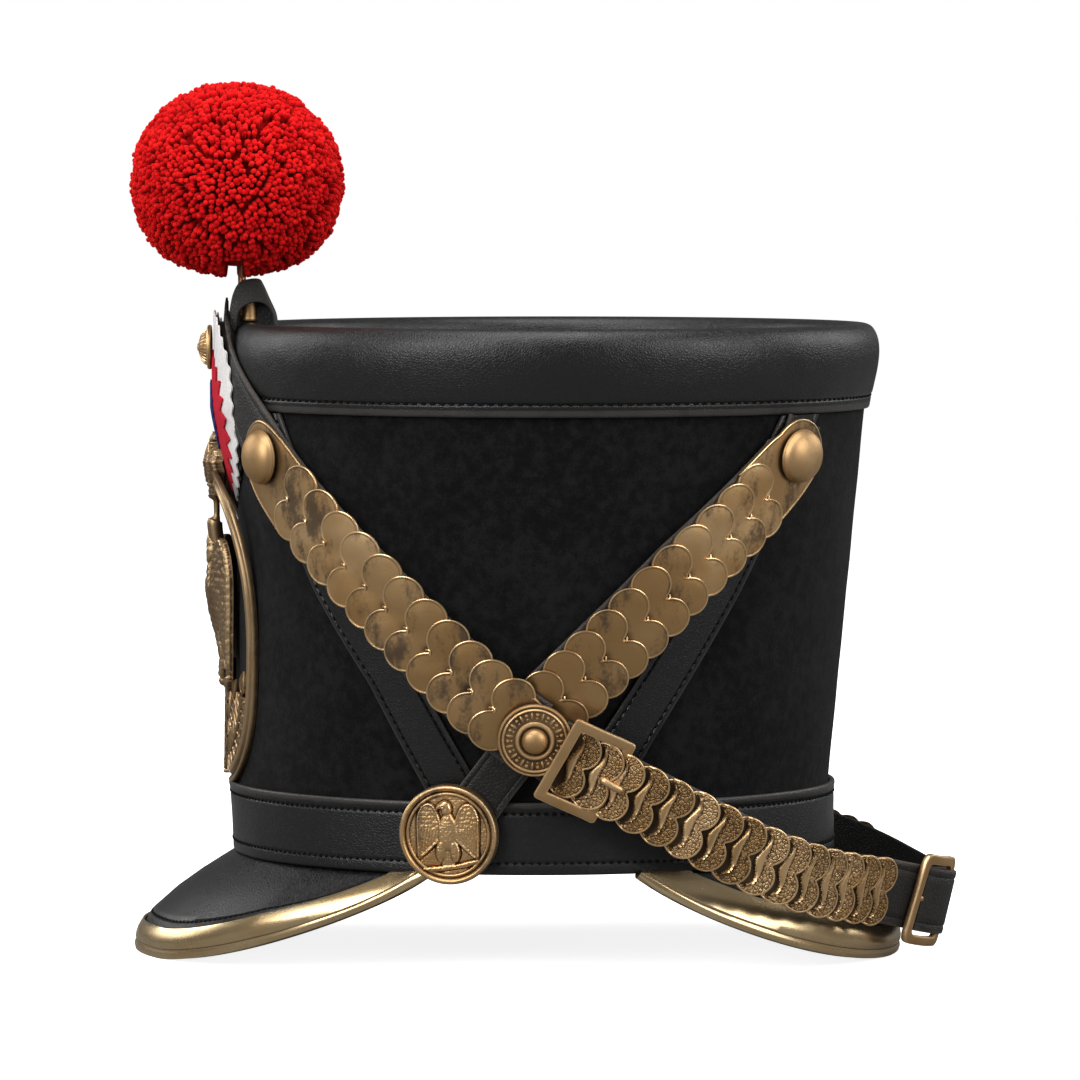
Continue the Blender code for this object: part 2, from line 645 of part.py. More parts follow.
def build_cockade():
    fan("cockade_backing", (12.0, BACKING_R), -0.3, 0.8, "leather",
        lambda k, angle: BACKING_R + BACKING_POINT * max(0.0, math.cos(angle)) ** 12)
    fan("cockade", (3.0, 12.0, BACKING_R, COCKADE_R), 1.2, 1.2, "cockade_cloth", lambda k, angle: COCKADE_R - 1.6 * (k % 2))
    frame = Matrix.Rotation(math.radians(90.0), 4, "X")
    frame.translation = Vector((0.0, COCKADE_MID.y - 1.6, COCKADE_BUTTON_Z))
    turned("cockade_button", COCKADE_BUTTON_PROFILE, frame, "old_brass", steps=16)


def build_socket():
    """The leather loop on the rim, the brass tube in it and the pompom's stem."""
    rings = []
    for side in (-1.0, 1.0):
        ring = []
        for y, z in LOOP_OUTER + LOOP_INNER:
            half = np.interp(z, (216.5, 226.0, 237.0), (7.0, 6.6, 4.4))
            ring.append(Vector((side * half, y, z)))
        rings.append(ring)
    socket = mesh_object("socket_loop", loft(rings), "leather")
    seat = Vector((0.0, STEM_MID_Y, SEAT_Z))
    bore = tube_between(seat, seat + Vector((0.0, 0.0, 20.0)), TUBE_R + GAP, 0.0, "leather", "socket_bore")
    PARTS.objects.unlink(bore)
    CUTTERS.objects.link(bore)
    bore.hide_render = True
    bore.display_type = "WIRE"
    cut = socket.modifiers.new("bore", "BOOLEAN")
    cut.operation = "DIFFERENCE"
    cut.object = bore
    tube_between(seat, seat + Vector((0.0, 0.0, TUBE_LENGTH)), TUBE_R, STEM_R + GAP, "old_brass", "socket_tube")
    base = seat + Vector((0.0, 0.0, 2.0))
    tube_between(base, base + Vector((0.0, 0.0, STEM_LENGTH)), STEM_R, 0.0, "copper", "pompom_stem", steps=12)


def build_pompom():
    """Short locks fused to a round head: every second corner of a ball is drawn out to a tip."""
    bm = bmesh.new()
    bmesh.ops.create_icosphere(bm, subdivisions=3, radius=1.0)
    for k, vert in enumerate(bm.verts):
        vert.co = vert.co.normalized() * (1.0 if k % 2 else 0.94)
        vert.co = Vector((vert.co.x * POMPOM_WIDE, vert.co.y * POMPOM_WIDE, vert.co.z * POMPOM_HIGH)) + POMPOM_MID
    mesh_object("pompom", bm, "wool")


clear_scene()
PARTS = new_collection("shako_hat")
CUTTERS = new_collection("shako_hat_cutters")
build_crown()
build_peak("front_peak", FRONT_PEAK)
build_peak("rear_peak", REAR_PEAK)
build_side(1, "left")
build_side(-1, "right")
build_plate()
build_cockade()
build_socket()
build_pompom()
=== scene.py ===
"""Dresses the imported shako: its visible pieces, their finishes, a pale floor, soft lights and the camera.

Lengths are in millimetres until a Shape becomes a piece. The front of the hat is -Y, the wearer's left is +X.
A turn is the angle round the crown from the front, and a lift is a distance out from the felt's outer face.
"""

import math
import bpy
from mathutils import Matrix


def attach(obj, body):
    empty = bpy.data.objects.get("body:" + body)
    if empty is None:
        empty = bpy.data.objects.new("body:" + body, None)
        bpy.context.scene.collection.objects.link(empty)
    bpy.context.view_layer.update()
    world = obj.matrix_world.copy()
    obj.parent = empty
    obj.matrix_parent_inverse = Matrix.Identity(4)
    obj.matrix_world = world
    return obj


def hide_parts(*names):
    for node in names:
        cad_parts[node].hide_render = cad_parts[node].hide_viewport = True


bl_info = {
    "name": "Shako dressing",
    "version": (1, 0, 0),
    "blender": (4, 5, 0),
    "location": "3D View > Sidebar > Shako",
    "description": "Builds the felt, leather, brass and wool of a parade shako round its packed solids",
    "category": "Object",
}

import bmesh
import bpy
import numpy as np
from bpy.props import FloatProperty, FloatVectorProperty, IntProperty, PointerProperty
from mathutils import Vector

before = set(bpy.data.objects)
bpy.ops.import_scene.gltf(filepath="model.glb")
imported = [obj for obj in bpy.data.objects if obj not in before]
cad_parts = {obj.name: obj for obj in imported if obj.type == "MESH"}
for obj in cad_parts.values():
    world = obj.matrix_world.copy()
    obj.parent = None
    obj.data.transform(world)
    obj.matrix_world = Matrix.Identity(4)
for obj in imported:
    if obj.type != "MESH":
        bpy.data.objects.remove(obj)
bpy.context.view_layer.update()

MM = 0.001
SHIFT_Y = -3.8
WHITE = (1.0, 1.0, 1.0, 1.0)

# The felt's outer oval: height, centre in y, half depth in y, half width in x
CROWN_ROWS = np.array([
    (35.0, 0.5, 103.4, 84.8),
    (61.0, -0.3, 105.2, 86.2),
    (190.0, 6.7, 110.3, 108.6),
    (222.0, 8.4, 111.6, 112.2),
])
FELT_LOW = 35.4
FELT_TOP = 214.0
LEATHER = 1.6

FRONT_PEAK = {"centre": -16.0, "wide": 86.0, "deep": -125.0, "flat": -131.0, "end": -36.0, "climb": 32.0,
              "power": 1.35, "turn": 77.8, "span": 0.9}
REAR_PEAK = {"centre": 40.7, "wide": 87.0, "deep": 89.0, "flat": 127.0, "end": 36.0, "climb": 32.0,
             "power": 1.4, "turn": 67.6, "span": 1.03}

FRONT_CHEVRON = ((28.2, 191.6), (50.0, 131.0), (63.4, 100.0), (76.6, 60.9))
REAR_CHEVRON = ((139.5, 191.6), (122.5, 131.0), (107.0, 82.0), (101.0, 60.9))
CHEVRON_HALF = 9.8

# Strap routes: turn, height and lift of the leather's back
FRONT_STRAP = ((9.0, 210.2, 3.9), (17.0, 197.6, 3.5), (24.0, 186.6, 2.6), (30.4, 176.5, 2.4), (57.3, 134.9, 2.4),
               (72.0, 110.5, 4.2), (81.9, 94.0, 6.4), (88.8, 84.6, 6.6))
REAR_STRAP = ((139.5, 189.6, 2.7), (138.5, 183.0, 2.7), (134.9, 173.7, 2.7), (115.2, 139.6, 2.7),
              (91.0, 91.5, 2.7))
REAR_SCALES = ((142.0, 191.5, 2.7), (137.2, 177.7, 2.7), (115.2, 139.6, 2.7), (91.0, 91.5, 2.7))
FRONT_RIVET_AT = 51.57
REAR_RIVET_AT = 16.44

# Distances of the lobed edges from the rivet: near side, far side
FRONT_LOBES = ((14.5, 17.5), (26.0, 28.5), (36.5, 39.0), (46.5, 50.0), (57.2, 60.0), (67.5, 70.3), (78.2, 80.2),
               (88.2, 90.8), (98.2, 100.3), (107.3, 109.7), (117.0, 118.5))
REAR_LOBES = ((16.0, 12.0), (25.0, 21.7), (35.0, 31.7), (44.5, 41.5), (54.0, 51.0), (63.7, 60.7), (74.0, 71.0),
              (83.5, 81.0), (92.8, 91.0), (102.3, 100.4), (111.5, 110.0))
CHIN_LOBES = (23.0, 31.7, 39.6, 48.9, 58.4, 67.8, 77.0, 86.6, 95.9, 105.2, 114.4, 123.6, 132.6, 142.0, 150.9)

CHIN_LEFT = ((97.0, 0.0, 83.0), (96.6, 18.5, 72.7), (95.6, 39.0, 61.8), (93.5, 56.0, 52.8), (89.6, 71.4, 44.2),
             (83.2, 86.5, 37.0), (74.5, 98.0, 32.3), (63.5, 109.0, 29.0), (51.5, 120.0, 26.2), (39.5, 130.0, 23.0),
             (27.5, 137.6, 20.2), (14.5, 143.2, 18.6))
CHIN_RIGHT = CHIN_LEFT[:7] + ((61.0, 111.0, 29.0), (42.0, 124.0, 25.0), (21.0, 134.0, 21.5), (0.0, 140.6, 19.4),
                              (-8.0, 142.6, 18.9), (-13.6, 143.7, 18.6))
CHIN_LEAN = 12.0
CHIN_HALF = 11.5

COCKADE_MID = (0.0, -111.8, 192.0)
COCKADE_BEND = 70.0
COCKADE_R = 34.0
COCKADE_TUCK = 8.2
CLOTH_HOLE = 0.05
SCALLOP = 0.9

# The plate's oval: height of its widest part, reach above and below it, and how blunt each half is
PLATE_MID = 105.0
PLATE_UP, PLATE_DOWN = 65.0, 46.2
PLATE_BLUNT_UP, PLATE_BLUNT_DOWN = 2.45, 2.8
PLATE_HALF = 44.6
PLATE_BEND = 103.0

POMPOM_MID = np.array((0.0, -104.3, 272.0))
SEAT = (0.0, -101.4, 222.2)


# --- Shapes -------------------------------------------------------------------------------------------------

class Shape:
    """Vertices and faces of one piece. Each vertex has two marks: relief, from recess to raised edge, which the
    finishes turn into dirt and painted shade in hollows and rubbing and a painted highlight on raised edges; and a
    second mark that gives a random tone, and on brass the share between a painted shaded and a painted lit copy of
    the colour.
    """

    def __init__(self):
        self.points, self.faces, self.relief, self.tint, self.count = [], [], [], [], 0

    def add(self, points, faces, relief=0.5, tint=0.5):
        points = np.asarray(points, float).reshape(-1, 3)
        self.points.append(points)
        for block in faces:
            self.faces.append(np.asarray(block, int) + self.count)
        for kept, mark in ((self.relief, relief), (self.tint, tint)):
            kept.append(np.broadcast_to(np.ravel(mark), len(points)) if np.size(mark) == 1 else np.ravel(mark))
        self.count += len(points)

    def loft(self, rings, relief=0.5, tint=0.5, **joins):
        """Adds the skin over rings of points."""
        points, faces = skin(rings, **joins)
        self.add(points, faces, relief, tint)

    def piece(self, name, finish, slot, replaces=(), mirror=False, smooth=35.0):
        """Makes the mesh in metres, faces outwards, and hands it to the frame."""
        points = np.concatenate(self.points)
        if mirror:
            points = points * (-1.0, 1.0, 1.0)
        points = (points + (0.0, SHIFT_Y, 0.0)) * MM
        mesh = bpy.data.meshes.new(name)
        corners = np.concatenate([block.ravel() for block in self.faces])
        sizes = np.concatenate([np.full(len(block), block.shape[1]) for block in self.faces])
        mesh.vertices.add(len(points))
        mesh.vertices.foreach_set("co", points.ravel())
        mesh.loops.add(len(corners))
        mesh.loops.foreach_set("vertex_index", corners)
        mesh.polygons.add(len(sizes))
        mesh.polygons.foreach_set("loop_start", np.concatenate([[0], np.cumsum(sizes)[:-1]]))
        mesh.update(calc_edges=True)
        for mark, values in (("relief", self.relief), ("tint", self.tint)):
            layer = mesh.attributes.new(mark, "FLOAT", "POINT")
            layer.data.foreach_set("value", np.concatenate(values).astype(np.float32))
        bm = bmesh.new()
        bm.from_mesh(mesh)
        bmesh.ops.recalc_face_normals(bm, faces=bm.faces)
        bm.to_mesh(mesh)
        bm.free()
        mesh.shade_smooth()
        mesh.set_sharp_from_angle(angle=math.radians(smooth))
        mesh.materials.append(bpy.data.materials[finish])
        obj = bpy.data.objects.new(name, mesh)
        bpy.context.scene.collection.objects.link(obj)
        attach(obj, "root")
        if replaces:
            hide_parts(*replaces)
        return obj


def skin(rings, closed=True, loop=False, caps=False):
    """Points and faces over rings of points: closed joins each ring's ends, loop joins the last ring to the first."""
    rings = np.asarray(rings, float)
    count, width = rings.shape[:2]
    index = np.arange(count * width).reshape(count, width)
    if loop:
        index = np.vstack([index, index[:1]])
    if closed:
        index = np.hstack([index, index[:, :1]])
    quads = np.stack([index[:-1, :-1], index[:-1, 1:], index[1:, 1:], index[1:, :-1]], -1).reshape(-1, 4)
    faces = [quads]
    if caps:
        faces += [np.arange(width)[None, ::-1], (np.arange(width) + (count - 1) * width)[None]]
    return rings.reshape(-1, 3), faces


def circle(steps):
    return np.linspace(0.0, 2 * math.pi, steps, endpoint=False)


def lengths_along(points):
    """The length from the first point to each point of a path."""
    return np.concatenate([[0.0], np.cumsum(np.linalg.norm(np.diff(points, axis=0), axis=1))])


def rounded(corners, radius, steps=4, closed=True):
    """A polyline with each corner turned into a short curve that starts and ends radius away."""
    corners = np.asarray(corners, float)
    count, out = len(corners), []
    for k in range(count):
        here = corners[k]
        if not closed and k in (0, count - 1):
            out.append(here)
            continue
        before, after = corners[k - 1], corners[(k + 1) % count]
        reach = min(radius, 0.45 * np.linalg.norm(before - here), 0.45 * np.linalg.norm(after - here))
        a = here + (before - here) / np.linalg.norm(before - here) * reach
        b = here + (after - here) / np.linalg.norm(after - here) * reach
        for t in np.linspace(0.0, 1.0, steps + 1):
            out.append((1 - t) ** 2 * a + 2 * t * (1 - t) * here + t * t * b)
    return np.array(out)


def smooth_path(rows, steps=12, closed=False):
    """Points of a smooth curve through the rows."""
    ends = np.asarray(rows, float)
    if closed:
        ends = np.vstack([ends[-1:], ends, ends[:2]])
    else:
        ends = np.vstack([2 * ends[:1] - ends[1:2], ends, 2 * ends[-1:] - ends[-2:-1]])
    t = (np.arange(steps) / steps)[:, None]
    path = [0.5 * (2 * b + (c - a) * t + (2 * a - 5 * b + 4 * c - d) * t ** 2 + (3 * b - a - 3 * c + d) * t ** 3)
            for a, b, c, d in zip(ends, ends[1:], ends[2:], ends[3:])]
    if not closed:
        path.append(ends[-2:-1])
    return np.concatenate(path)


def wobble(points, size, seed=0.0):
    """A smooth uneven value from -1 to 1 over space; size is about the length of one wave."""
    x, y, z = (np.asarray(points, float) * (2 * math.pi / size)).T
    return (np.sin(x + 1.7 * np.sin(0.7 * y + seed) + seed) + np.sin(1.13 * y + 1.3 * np.sin(0.8 * z + 2 * seed))
            + np.sin(0.94 * z + 1.5 * np.sin(0.6 * x + 3 * seed + 1.0))) / 3.0


# --- Places on the hat --------------------------------------------------------------------------------------

def on_crown(turn, z, lift=0.0):
    turn, z, lift = np.broadcast_arrays(np.asarray(turn, float), z, lift)
    centre, deep, wide = (np.interp(z, CROWN_ROWS[:, 0], CROWN_ROWS[:, k]) for k in (1, 2, 3))
    sine, cosine = np.sin(np.radians(turn)), np.cos(np.radians(turn))
    across, along = sine / wide, -cosine / deep
    long = np.hypot(across, along)
    return np.stack([wide * sine + across / long * lift, centre - deep * cosine + along / long * lift, z], -1)


def crown_frame(turn, z, lift):
    """Origin and axes at a place on the crown's left side: x round it, y up its slope, z outwards."""
    point = on_crown(turn, z, lift)
    around = on_crown(turn + 0.5, z, lift) - on_crown(turn - 0.5, z, lift)
    up = on_crown(turn, z + 1.0, lift) - on_crown(turn, z - 1.0, lift)
    out = np.cross(around, up)
    out /= np.linalg.norm(out)
    around /= np.linalg.norm(around)
    return point, np.stack([around, np.cross(out, around), out])


def in_frame(place, points):
    origin, axes = place
    return origin + np.asarray(points, float) @ axes


def flat_on(place):
    """Places (across, up, out) coordinates, broadcast together, in a frame."""
    return lambda across, up, out: in_frame(place, np.stack(np.broadcast_arrays(across, up, out), -1))


def crown_route(rows):
    """Length of a route over the crown, and a function that places arrays of (along, across, lift) on it."""
    rows = np.array([(*row, 0.0)[:3] for row in rows])
    ends = on_crown(rows[:, 0], rows[:, 1])
    spans = lengths_along(ends)

    def middle(along):
        turn, z = np.interp(along, spans, rows[:, 0]), np.interp(along, spans, rows[:, 1])
        before = np.minimum(along, 0.0) / spans[1]
        beyond = np.maximum(along - spans[-1], 0.0) / (spans[-1] - spans[-2])
        turn = turn + before * (rows[1, 0] - rows[0, 0]) + beyond * (rows[-1, 0] - rows[-2, 0])
        return turn, z + before * (rows[1, 1] - rows[0, 1]) + beyond * (rows[-1, 1] - rows[-2, 1])

    def place(along, across, lift):
        along, across, lift = np.broadcast_arrays(np.asarray(along, float), across, lift)
        turn, z = middle(along)
        before, after = middle(along - 8.0), middle(along + 8.0)
        radius = np.linalg.norm(on_crown(turn + 0.5, z) - on_crown(turn - 0.5, z), axis=-1)
        heading = np.stack([(after[0] - before[0]) * radius, after[1] - before[1]])
        heading = heading / np.linalg.norm(heading, axis=0)
        return on_crown(turn - across * heading[1] / radius, z + across * heading[0],
                        lift + np.interp(along, spans, rows[:, 2]))

    return spans[-1], place


def chin_route(rows):
    """Length of a chin strap from the boss, and a function that places arrays of (along, across, lift) on it."""
    path = smooth_path(rows)
    spans = lengths_along(path)
    lean = math.radians(CHIN_LEAN)

    def middle(along):
        return np.stack([np.interp(along, spans, path[:, k]) for k in range(3)], -1)

    def place(along, across, lift):
        along, across, lift = np.broadcast_arrays(np.asarray(along, float), across, lift)
        heading = middle(np.minimum(along + 5.0, spans[-1])) - middle(np.maximum(along - 5.0, 0.0))
        heading /= np.linalg.norm(heading, axis=-1, keepdims=True)
        level = np.stack([heading[..., 1], -heading[..., 0], np.zeros_like(along)], -1)
        level /= np.linalg.norm(level, axis=-1, keepdims=True)
        out = level * math.cos(lean) - np.array((0.0, 0.0, math.sin(lean)))
        up = np.cross(heading, out)
        up *= np.sign(up[..., 2:]) / np.linalg.norm(up, axis=-1, keepdims=True)
        beyond = (along - np.clip(along, 0.0, spans[-1]))[..., None] * heading
        return middle(along) + beyond + up * across[..., None] + out * lift[..., None]

    return spans[-1], place


def raised(place, rise):
    return lambda along, across, lift: place(along, across, lift + rise)


# --- Repeated forms -----------------------------------------------------------------------------------------

def turned(shape, profile, place, steps=48, relief=None, tint=0.5):
    """A (radius, height) profile from the top centre down to the back, spun about a frame's outward axis."""
    profile = np.asarray(profile, float)
    angles = circle(steps)
    radius = np.maximum(profile[:, 0], 0.02)[:, None]
    rings = np.stack([radius * np.cos(angles), radius * np.sin(angles),
                      np.broadcast_to(profile[:, 1:], (len(profile), steps))], -1)
    marks = 0.5 if relief is None else np.repeat(np.asarray(relief, float), steps)
    points, faces = skin(rings, caps=True)
    shape.add(in_frame(place, points), faces, marks, tint)


def stitches(shape, place, rows, long=2.1, wide=0.8, high=0.62, scale=1.0):
    """Short thread loops on rows of (along, across, lift, tilt in degrees).

    scale turns mm along into the unit of place.
    """
    rows = np.asarray(rows, float)
    lengths = np.linspace(-1.0, 1.0, 5)
    angles = circle(6)
    swell = np.array((0.35, 0.9, 1.0, 0.9, 0.35))
    ds = np.repeat(lengths * long / 2, 6)
    dv = np.outer(swell, np.cos(angles)).ravel() * wide / 2
    dw = np.outer(swell, np.sin(angles)).ravel() * high / 2 - np.repeat(np.abs(lengths) ** 2 * high * 0.6, 6)
    cosine, sine = np.cos(np.radians(rows[:, 3:])), np.sin(np.radians(rows[:, 3:]))
    along = rows[:, :1] + (ds * cosine - dv * sine) * scale
    across = rows[:, 1:2] + ds * sine + dv * cosine
    points = place(along, across, rows[:, 2:3] + dw)
    one = skin(np.zeros((5, 6, 3)), caps=True)[1]
    starts = (np.arange(len(rows)) * 30)[:, None]
    faces = [(block[None] + starts[:, :, None]).reshape(-1, block.shape[1]) for block in one]
    shape.add(points.reshape(-1, 3), faces, 0.6, np.repeat(np.random.default_rng(len(rows)).random(len(rows)), 30))


def strap_section(half, thick, bulge=0.12):
    """A strap's cut across: rounded edges, a pressed line near each edge and a slight crown."""
    v = np.array((-1.0, -0.985, -0.94, -0.8, -0.74, -0.68, -0.5, 0.0, 0.5, 0.68, 0.74, 0.8, 0.94, 0.985, 1.0)) * half
    w = np.array((0.45, 0.82, 0.98, 1.02, 0.78, 1.02, 1.0, 1.0, 1.0, 1.02, 0.78, 1.02, 0.98, 0.82, 0.45)) * thick
    w = w + bulge * (1.0 - (v / half) ** 2)
    back_v = np.array((1.0, 0.96, 0.5, 0.0, -0.5, -0.96, -1.0)) * half
    back_w = np.array((0.25, 0.0, 0.0, 0.0, 0.0, 0.0, 0.25)) * thick
    return np.concatenate([v, back_v]), np.concatenate([w, back_w])


# Relief marks of a strap's section: bright rounded edges, and painted shade in the pressed lines near each edge.
STRAP_RELIEF = np.array((0.9, 1.0, 0.8, 0.5, 0.0, 0.5) + (0.5,) * 3 + (0.5, 0.0, 0.5, 0.8, 1.0, 0.9) + (0.5,) * 7)


def strap(shape, place, stations, thick=LEATHER, tint=0.5):
    """A leather strap along a route, from (along, half width) stations."""
    rings = []
    for along, half in stations:
        v, w = strap_section(half, thick)
        rings.append(place(np.full(len(v), along), v, w))
    shape.loft(rings, np.tile(STRAP_RELIEF, len(rings)), tint, caps=True)


def even(start, end, step, half):
    count = max(2, int(round((end - start) / step)) + 1)
    return [(along, half) for along in np.linspace(start, end, count)]


def tapered(start, rows, step=2.0):
    """Stations along a strap's narrowed end, rounded at its tip."""
    rows = np.array(rows)
    spots = np.concatenate([[start + 0.05, start + 0.5, start + 1.4], np.arange(start + 3.0, rows[-1, 0], step)])
    return [(s, float(np.interp(s, rows[:, 0], rows[:, 1])) * math.sqrt(min(1.0, 0.35 + (s - start) / 3.0)))
            for s in spots]


def bead(shape, place, centre, radii, relief=0.9, steps=8):
    """A small rounded lump at (along, across, lift)."""
    polar = np.linspace(0.12, math.pi - 0.12, 6)
    angles = circle(steps)
    s = centre[0] + radii[0] * np.outer(np.sin(polar), np.cos(angles))
    v = centre[1] + radii[1] * np.outer(np.sin(polar), np.sin(angles))
    w = centre[2] + radii[2] * np.outer(np.cos(polar), np.ones(steps))
    shape.loft(place(s, v, w), relief, caps=True)


def rod(shape, place, path, radius, relief=0.7, sides=10):
    """A round bar through (along, across, lift) points, with radius a number or one for each point."""
    path = np.asarray(path, float)
    radius = np.broadcast_to(radius, len(path))
    axis = np.gradient(path, axis=0)
    axis /= np.linalg.norm(axis, axis=1, keepdims=True)
    side = np.cross(axis, (0.0, 0.0, 1.0))
    flat = np.linalg.norm(side, axis=1) < 1e-3
    side[flat] = (0.0, 1.0, 0.0)
    side /= np.linalg.norm(side, axis=1, keepdims=True)
    over = np.cross(side, axis)
    angles = circle(sides)
    rings = (path[:, None] + radius[:, None, None] * (np.cos(angles)[:, None] * side[:, None]
                                                      + np.sin(angles)[:, None] * over[:, None]))
    shape.loft(place(*np.moveaxis(rings, -1, 0)), relief, caps=True)


def outline_distance(corners, x, y):
    """Signed distance to a closed polygon, below zero inside it."""
    corners = np.asarray(corners, float)
    a, b = corners, np.roll(corners, -1, axis=0)
    best, inside = np.full(x.shape, 1e9), np.zeros(x.shape, bool)
    for (ax, ay), (bx, by) in zip(a, b):
        dx, dy = bx - ax, by - ay
        t = np.clip(((x - ax) * dx + (y - ay) * dy) / max(dx * dx + dy * dy, 1e-9), 0.0, 1.0)
        best = np.minimum(best, np.hypot(x - ax - t * dx, y - ay - t * dy))
        if ay != by:
            inside ^= ((ay > y) != (by > y)) & (x < (bx - ax) * (y - ay) / (by - ay) + ax)
    return np.where(inside, -best, best)


def blurred(values, times):
    for _ in range(times):
        padded = np.pad(values, 1, mode="edge")
        values = (padded[:-2, 1:-1] + padded[2:, 1:-1] + padded[1:-1, :-2] + padded[1:-1, 2:] + values) / 5.0
    return values


def relief_plate(shape, edge, top, low, high, step, place, back=0.0, blur=6, gain=2.2, tint=0.5):
    """A closed plate over the ground where edge(x, y) is below zero, its face at top(x, y, distance)."""
    xs, ys = np.arange(low[0], high[0] + step, step), np.arange(low[1], high[1] + step, step)
    x, y = np.meshgrid(xs, ys, indexing="ij")
    away = edge(x, y)
    gx, gy = np.gradient(away, step)
    steep = np.maximum(gx ** 2 + gy ** 2, 0.3)
    near = np.abs(away) < 0.7 * step
    x, y = np.where(near, x - away * gx / steep, x), np.where(near, y - away * gy / steep, y)
    used = away < 0.7 * step
    cell = used[:-1, :-1] & used[1:, :-1] & used[1:, 1:] & used[:-1, 1:]
    cell &= (away[:-1, :-1] + away[1:, :-1] + away[1:, 1:] + away[:-1, 1:]) < 0.0
    height = top(x, y, np.where(near, 0.0, away))
    # The relief mark: a painted highlight where the face stands above its blurred surroundings and painted shade
    # where it sinks below them, gain setting how strong.
    mark = np.clip(0.5 + gain * (height - blurred(height, blur)), 0.0, 1.0)
    ids = np.full(x.shape, -1)
    corner = np.zeros(x.shape, bool)
    for a, b in ((0, 0), (1, 0), (1, 1), (0, 1)):
        corner[a:a + cell.shape[0], b:b + cell.shape[1]] |= cell
    ids[corner] = np.arange(corner.sum())
    quads = np.stack([ids[:-1, :-1], ids[1:, :-1], ids[1:, 1:], ids[:-1, 1:]], -1)[cell]
    sides = np.concatenate([quads[:, [k, (k + 1) % 4]] for k in range(4)])
    keys = {}
    for a, b in sides.tolist():
        keys[(min(a, b), max(a, b))] = None if (min(a, b), max(a, b)) in keys else (a, b)
    rim = np.array([pair for pair in keys.values() if pair])
    count = int(corner.sum())
    face = place(x[corner], y[corner], height[corner])
    under = place(x[corner], y[corner], np.full(count, back))
    walls = np.stack([rim[:, 0], rim[:, 1], rim[:, 1] + count, rim[:, 0] + count], -1)
    shape.add(np.concatenate([face, under]), [quads, quads[:, ::-1] + count, walls],
              np.concatenate([mark[corner], np.full(count, 0.3)]), tint)


def dome(depth, reach, power=2.0):
    """From 0 at the outline to 1 at reach inside it."""
    return np.sqrt(np.maximum(0.0, 1.0 - np.clip(1.0 - depth / reach, 0.0, 1.0) ** power))


def ridge(value, middle, half):
    """A rounded bead of height 1 that stands half to each side of middle."""
    return np.sqrt(np.maximum(0.0, 1.0 - ((value - middle) / half) ** 2))


def ease(low, high, value):
    """Rises smoothly from 0 at low to 1 at high."""
    share = np.clip((value - low) / (high - low), 0.0, 1.0)
    return share * share * (3.0 - 2.0 * share)


def teeth_wave(value):
    """A zigzag from 1 at whole numbers to 0 halfway between them."""
    return np.abs(np.modf(value)[0] - 0.5) * 2.0


def grains(x, y, pitch, seed):
    """Close-set round grains: 1 on a grain's top, 0 between grains."""
    cx, cy = np.floor(x / pitch), np.floor(y / pitch)
    best = np.full(x.shape, 9.0)
    for i in (-1, 0, 1):
        for j in (-1, 0, 1):
            a, b = cx + i, cy + j
            h1 = np.modf(np.abs(np.sin(a * 12.9898 + b * 78.233 + seed) * 43758.5453))[0]
            h2 = np.modf(np.abs(np.sin(a * 39.3467 + b * 11.135 + seed) * 24634.6345))[0]
            best = np.minimum(best, np.hypot(x / pitch - a - 0.2 - 0.6 * h1, y / pitch - b - 0.2 - 0.6 * h2))
    return np.clip(1.0 - (best / 0.62) ** 2, 0.0, 1.0)


# --- Finishes -----------------------------------------------------------------------------------------------

def plug(tree, socket, value):
    """Links a socket to another node's output, or sets it to a number or a colour."""
    if isinstance(value, bpy.types.NodeSocket):
        tree.links.new(value, socket)
    else:
        socket.default_value = value


def plug_all(tree, node, inputs):
    for name, value in inputs.items():
        plug(tree, node.inputs[name], value)


def add_node(tree, kind, inputs=None, **settings):
    """A shader node with its settings, its inputs given as numbers, colours or other nodes' outputs."""
    made = tree.nodes.new("ShaderNode" + kind)
    for name, value in settings.items():
        setattr(made, name, value)
    plug_all(tree, made, inputs or {})
    return made


def math_node(tree, operation, a, b, clamp=False):
    return add_node(tree, "Math", {0: a, 1: b}, operation=operation, use_clamp=clamp).outputs[0]


def plus(tree, a, b, clamp=False):
    return math_node(tree, "ADD", a, b, clamp)


def minus(tree, a, b):
    return math_node(tree, "SUBTRACT", a, b)


def times(tree, a, b):
    return math_node(tree, "MULTIPLY", a, b)


def scaled(colour, by):
    return tuple(by * c for c in colour)


def mix_colour(tree, share, a, b):
    """A blend of two colours, each a tuple or another node's output."""
    made = add_node(tree, "Mix", {"Factor": share}, data_type="RGBA")
    for index, value in ((6, a), (7, b)):
        plug(tree, made.inputs[index], value if isinstance(value, bpy.types.NodeSocket) else (*value[:3], 1.0))
    return made.outputs[2]


def ramp(tree, value, low, high, first=0.0, last=1.0):
    return add_node(tree, "MapRange", {"Value": value, "From Min": low, "From Max": high, "To Min": first,
                                       "To Max": last}, interpolation_type="SMOOTHSTEP").outputs["Result"]


def noise(tree, vector, scale, detail=3.0, roughness=0.55):
    return add_node(tree, "TexNoise", {"Vector": vector, "Scale": scale, "Detail": detail,
                                       "Roughness": roughness}).outputs["Fac"]


def new_group(name, inputs, outputs):
    """A node group that takes a place in space and some numbers with their defaults, and gives values."""
    tree = bpy.data.node_groups.new(name, "ShaderNodeTree")
    tree.interface.new_socket("Vector", in_out="INPUT", socket_type="NodeSocketVector")
    for label, default in inputs.items():
        socket = tree.interface.new_socket(label, in_out="INPUT", socket_type="NodeSocketFloat")
        socket.default_value = default
    for label in outputs:
        tree.interface.new_socket(label, in_out="OUTPUT", socket_type="NodeSocketFloat")
    return tree, tree.nodes.new("NodeGroupInput").outputs, tree.nodes.new("NodeGroupOutput").inputs


def use_group(tree, name, place, **inputs):
    """The outputs of a node group at a place; its other inputs by name, with _ for a space."""
    given = {label.replace("_", " "): value for label, value in inputs.items()}
    return add_node(tree, "Group", {"Vector": place, **given}, node_tree=bpy.data.node_groups[name]).outputs


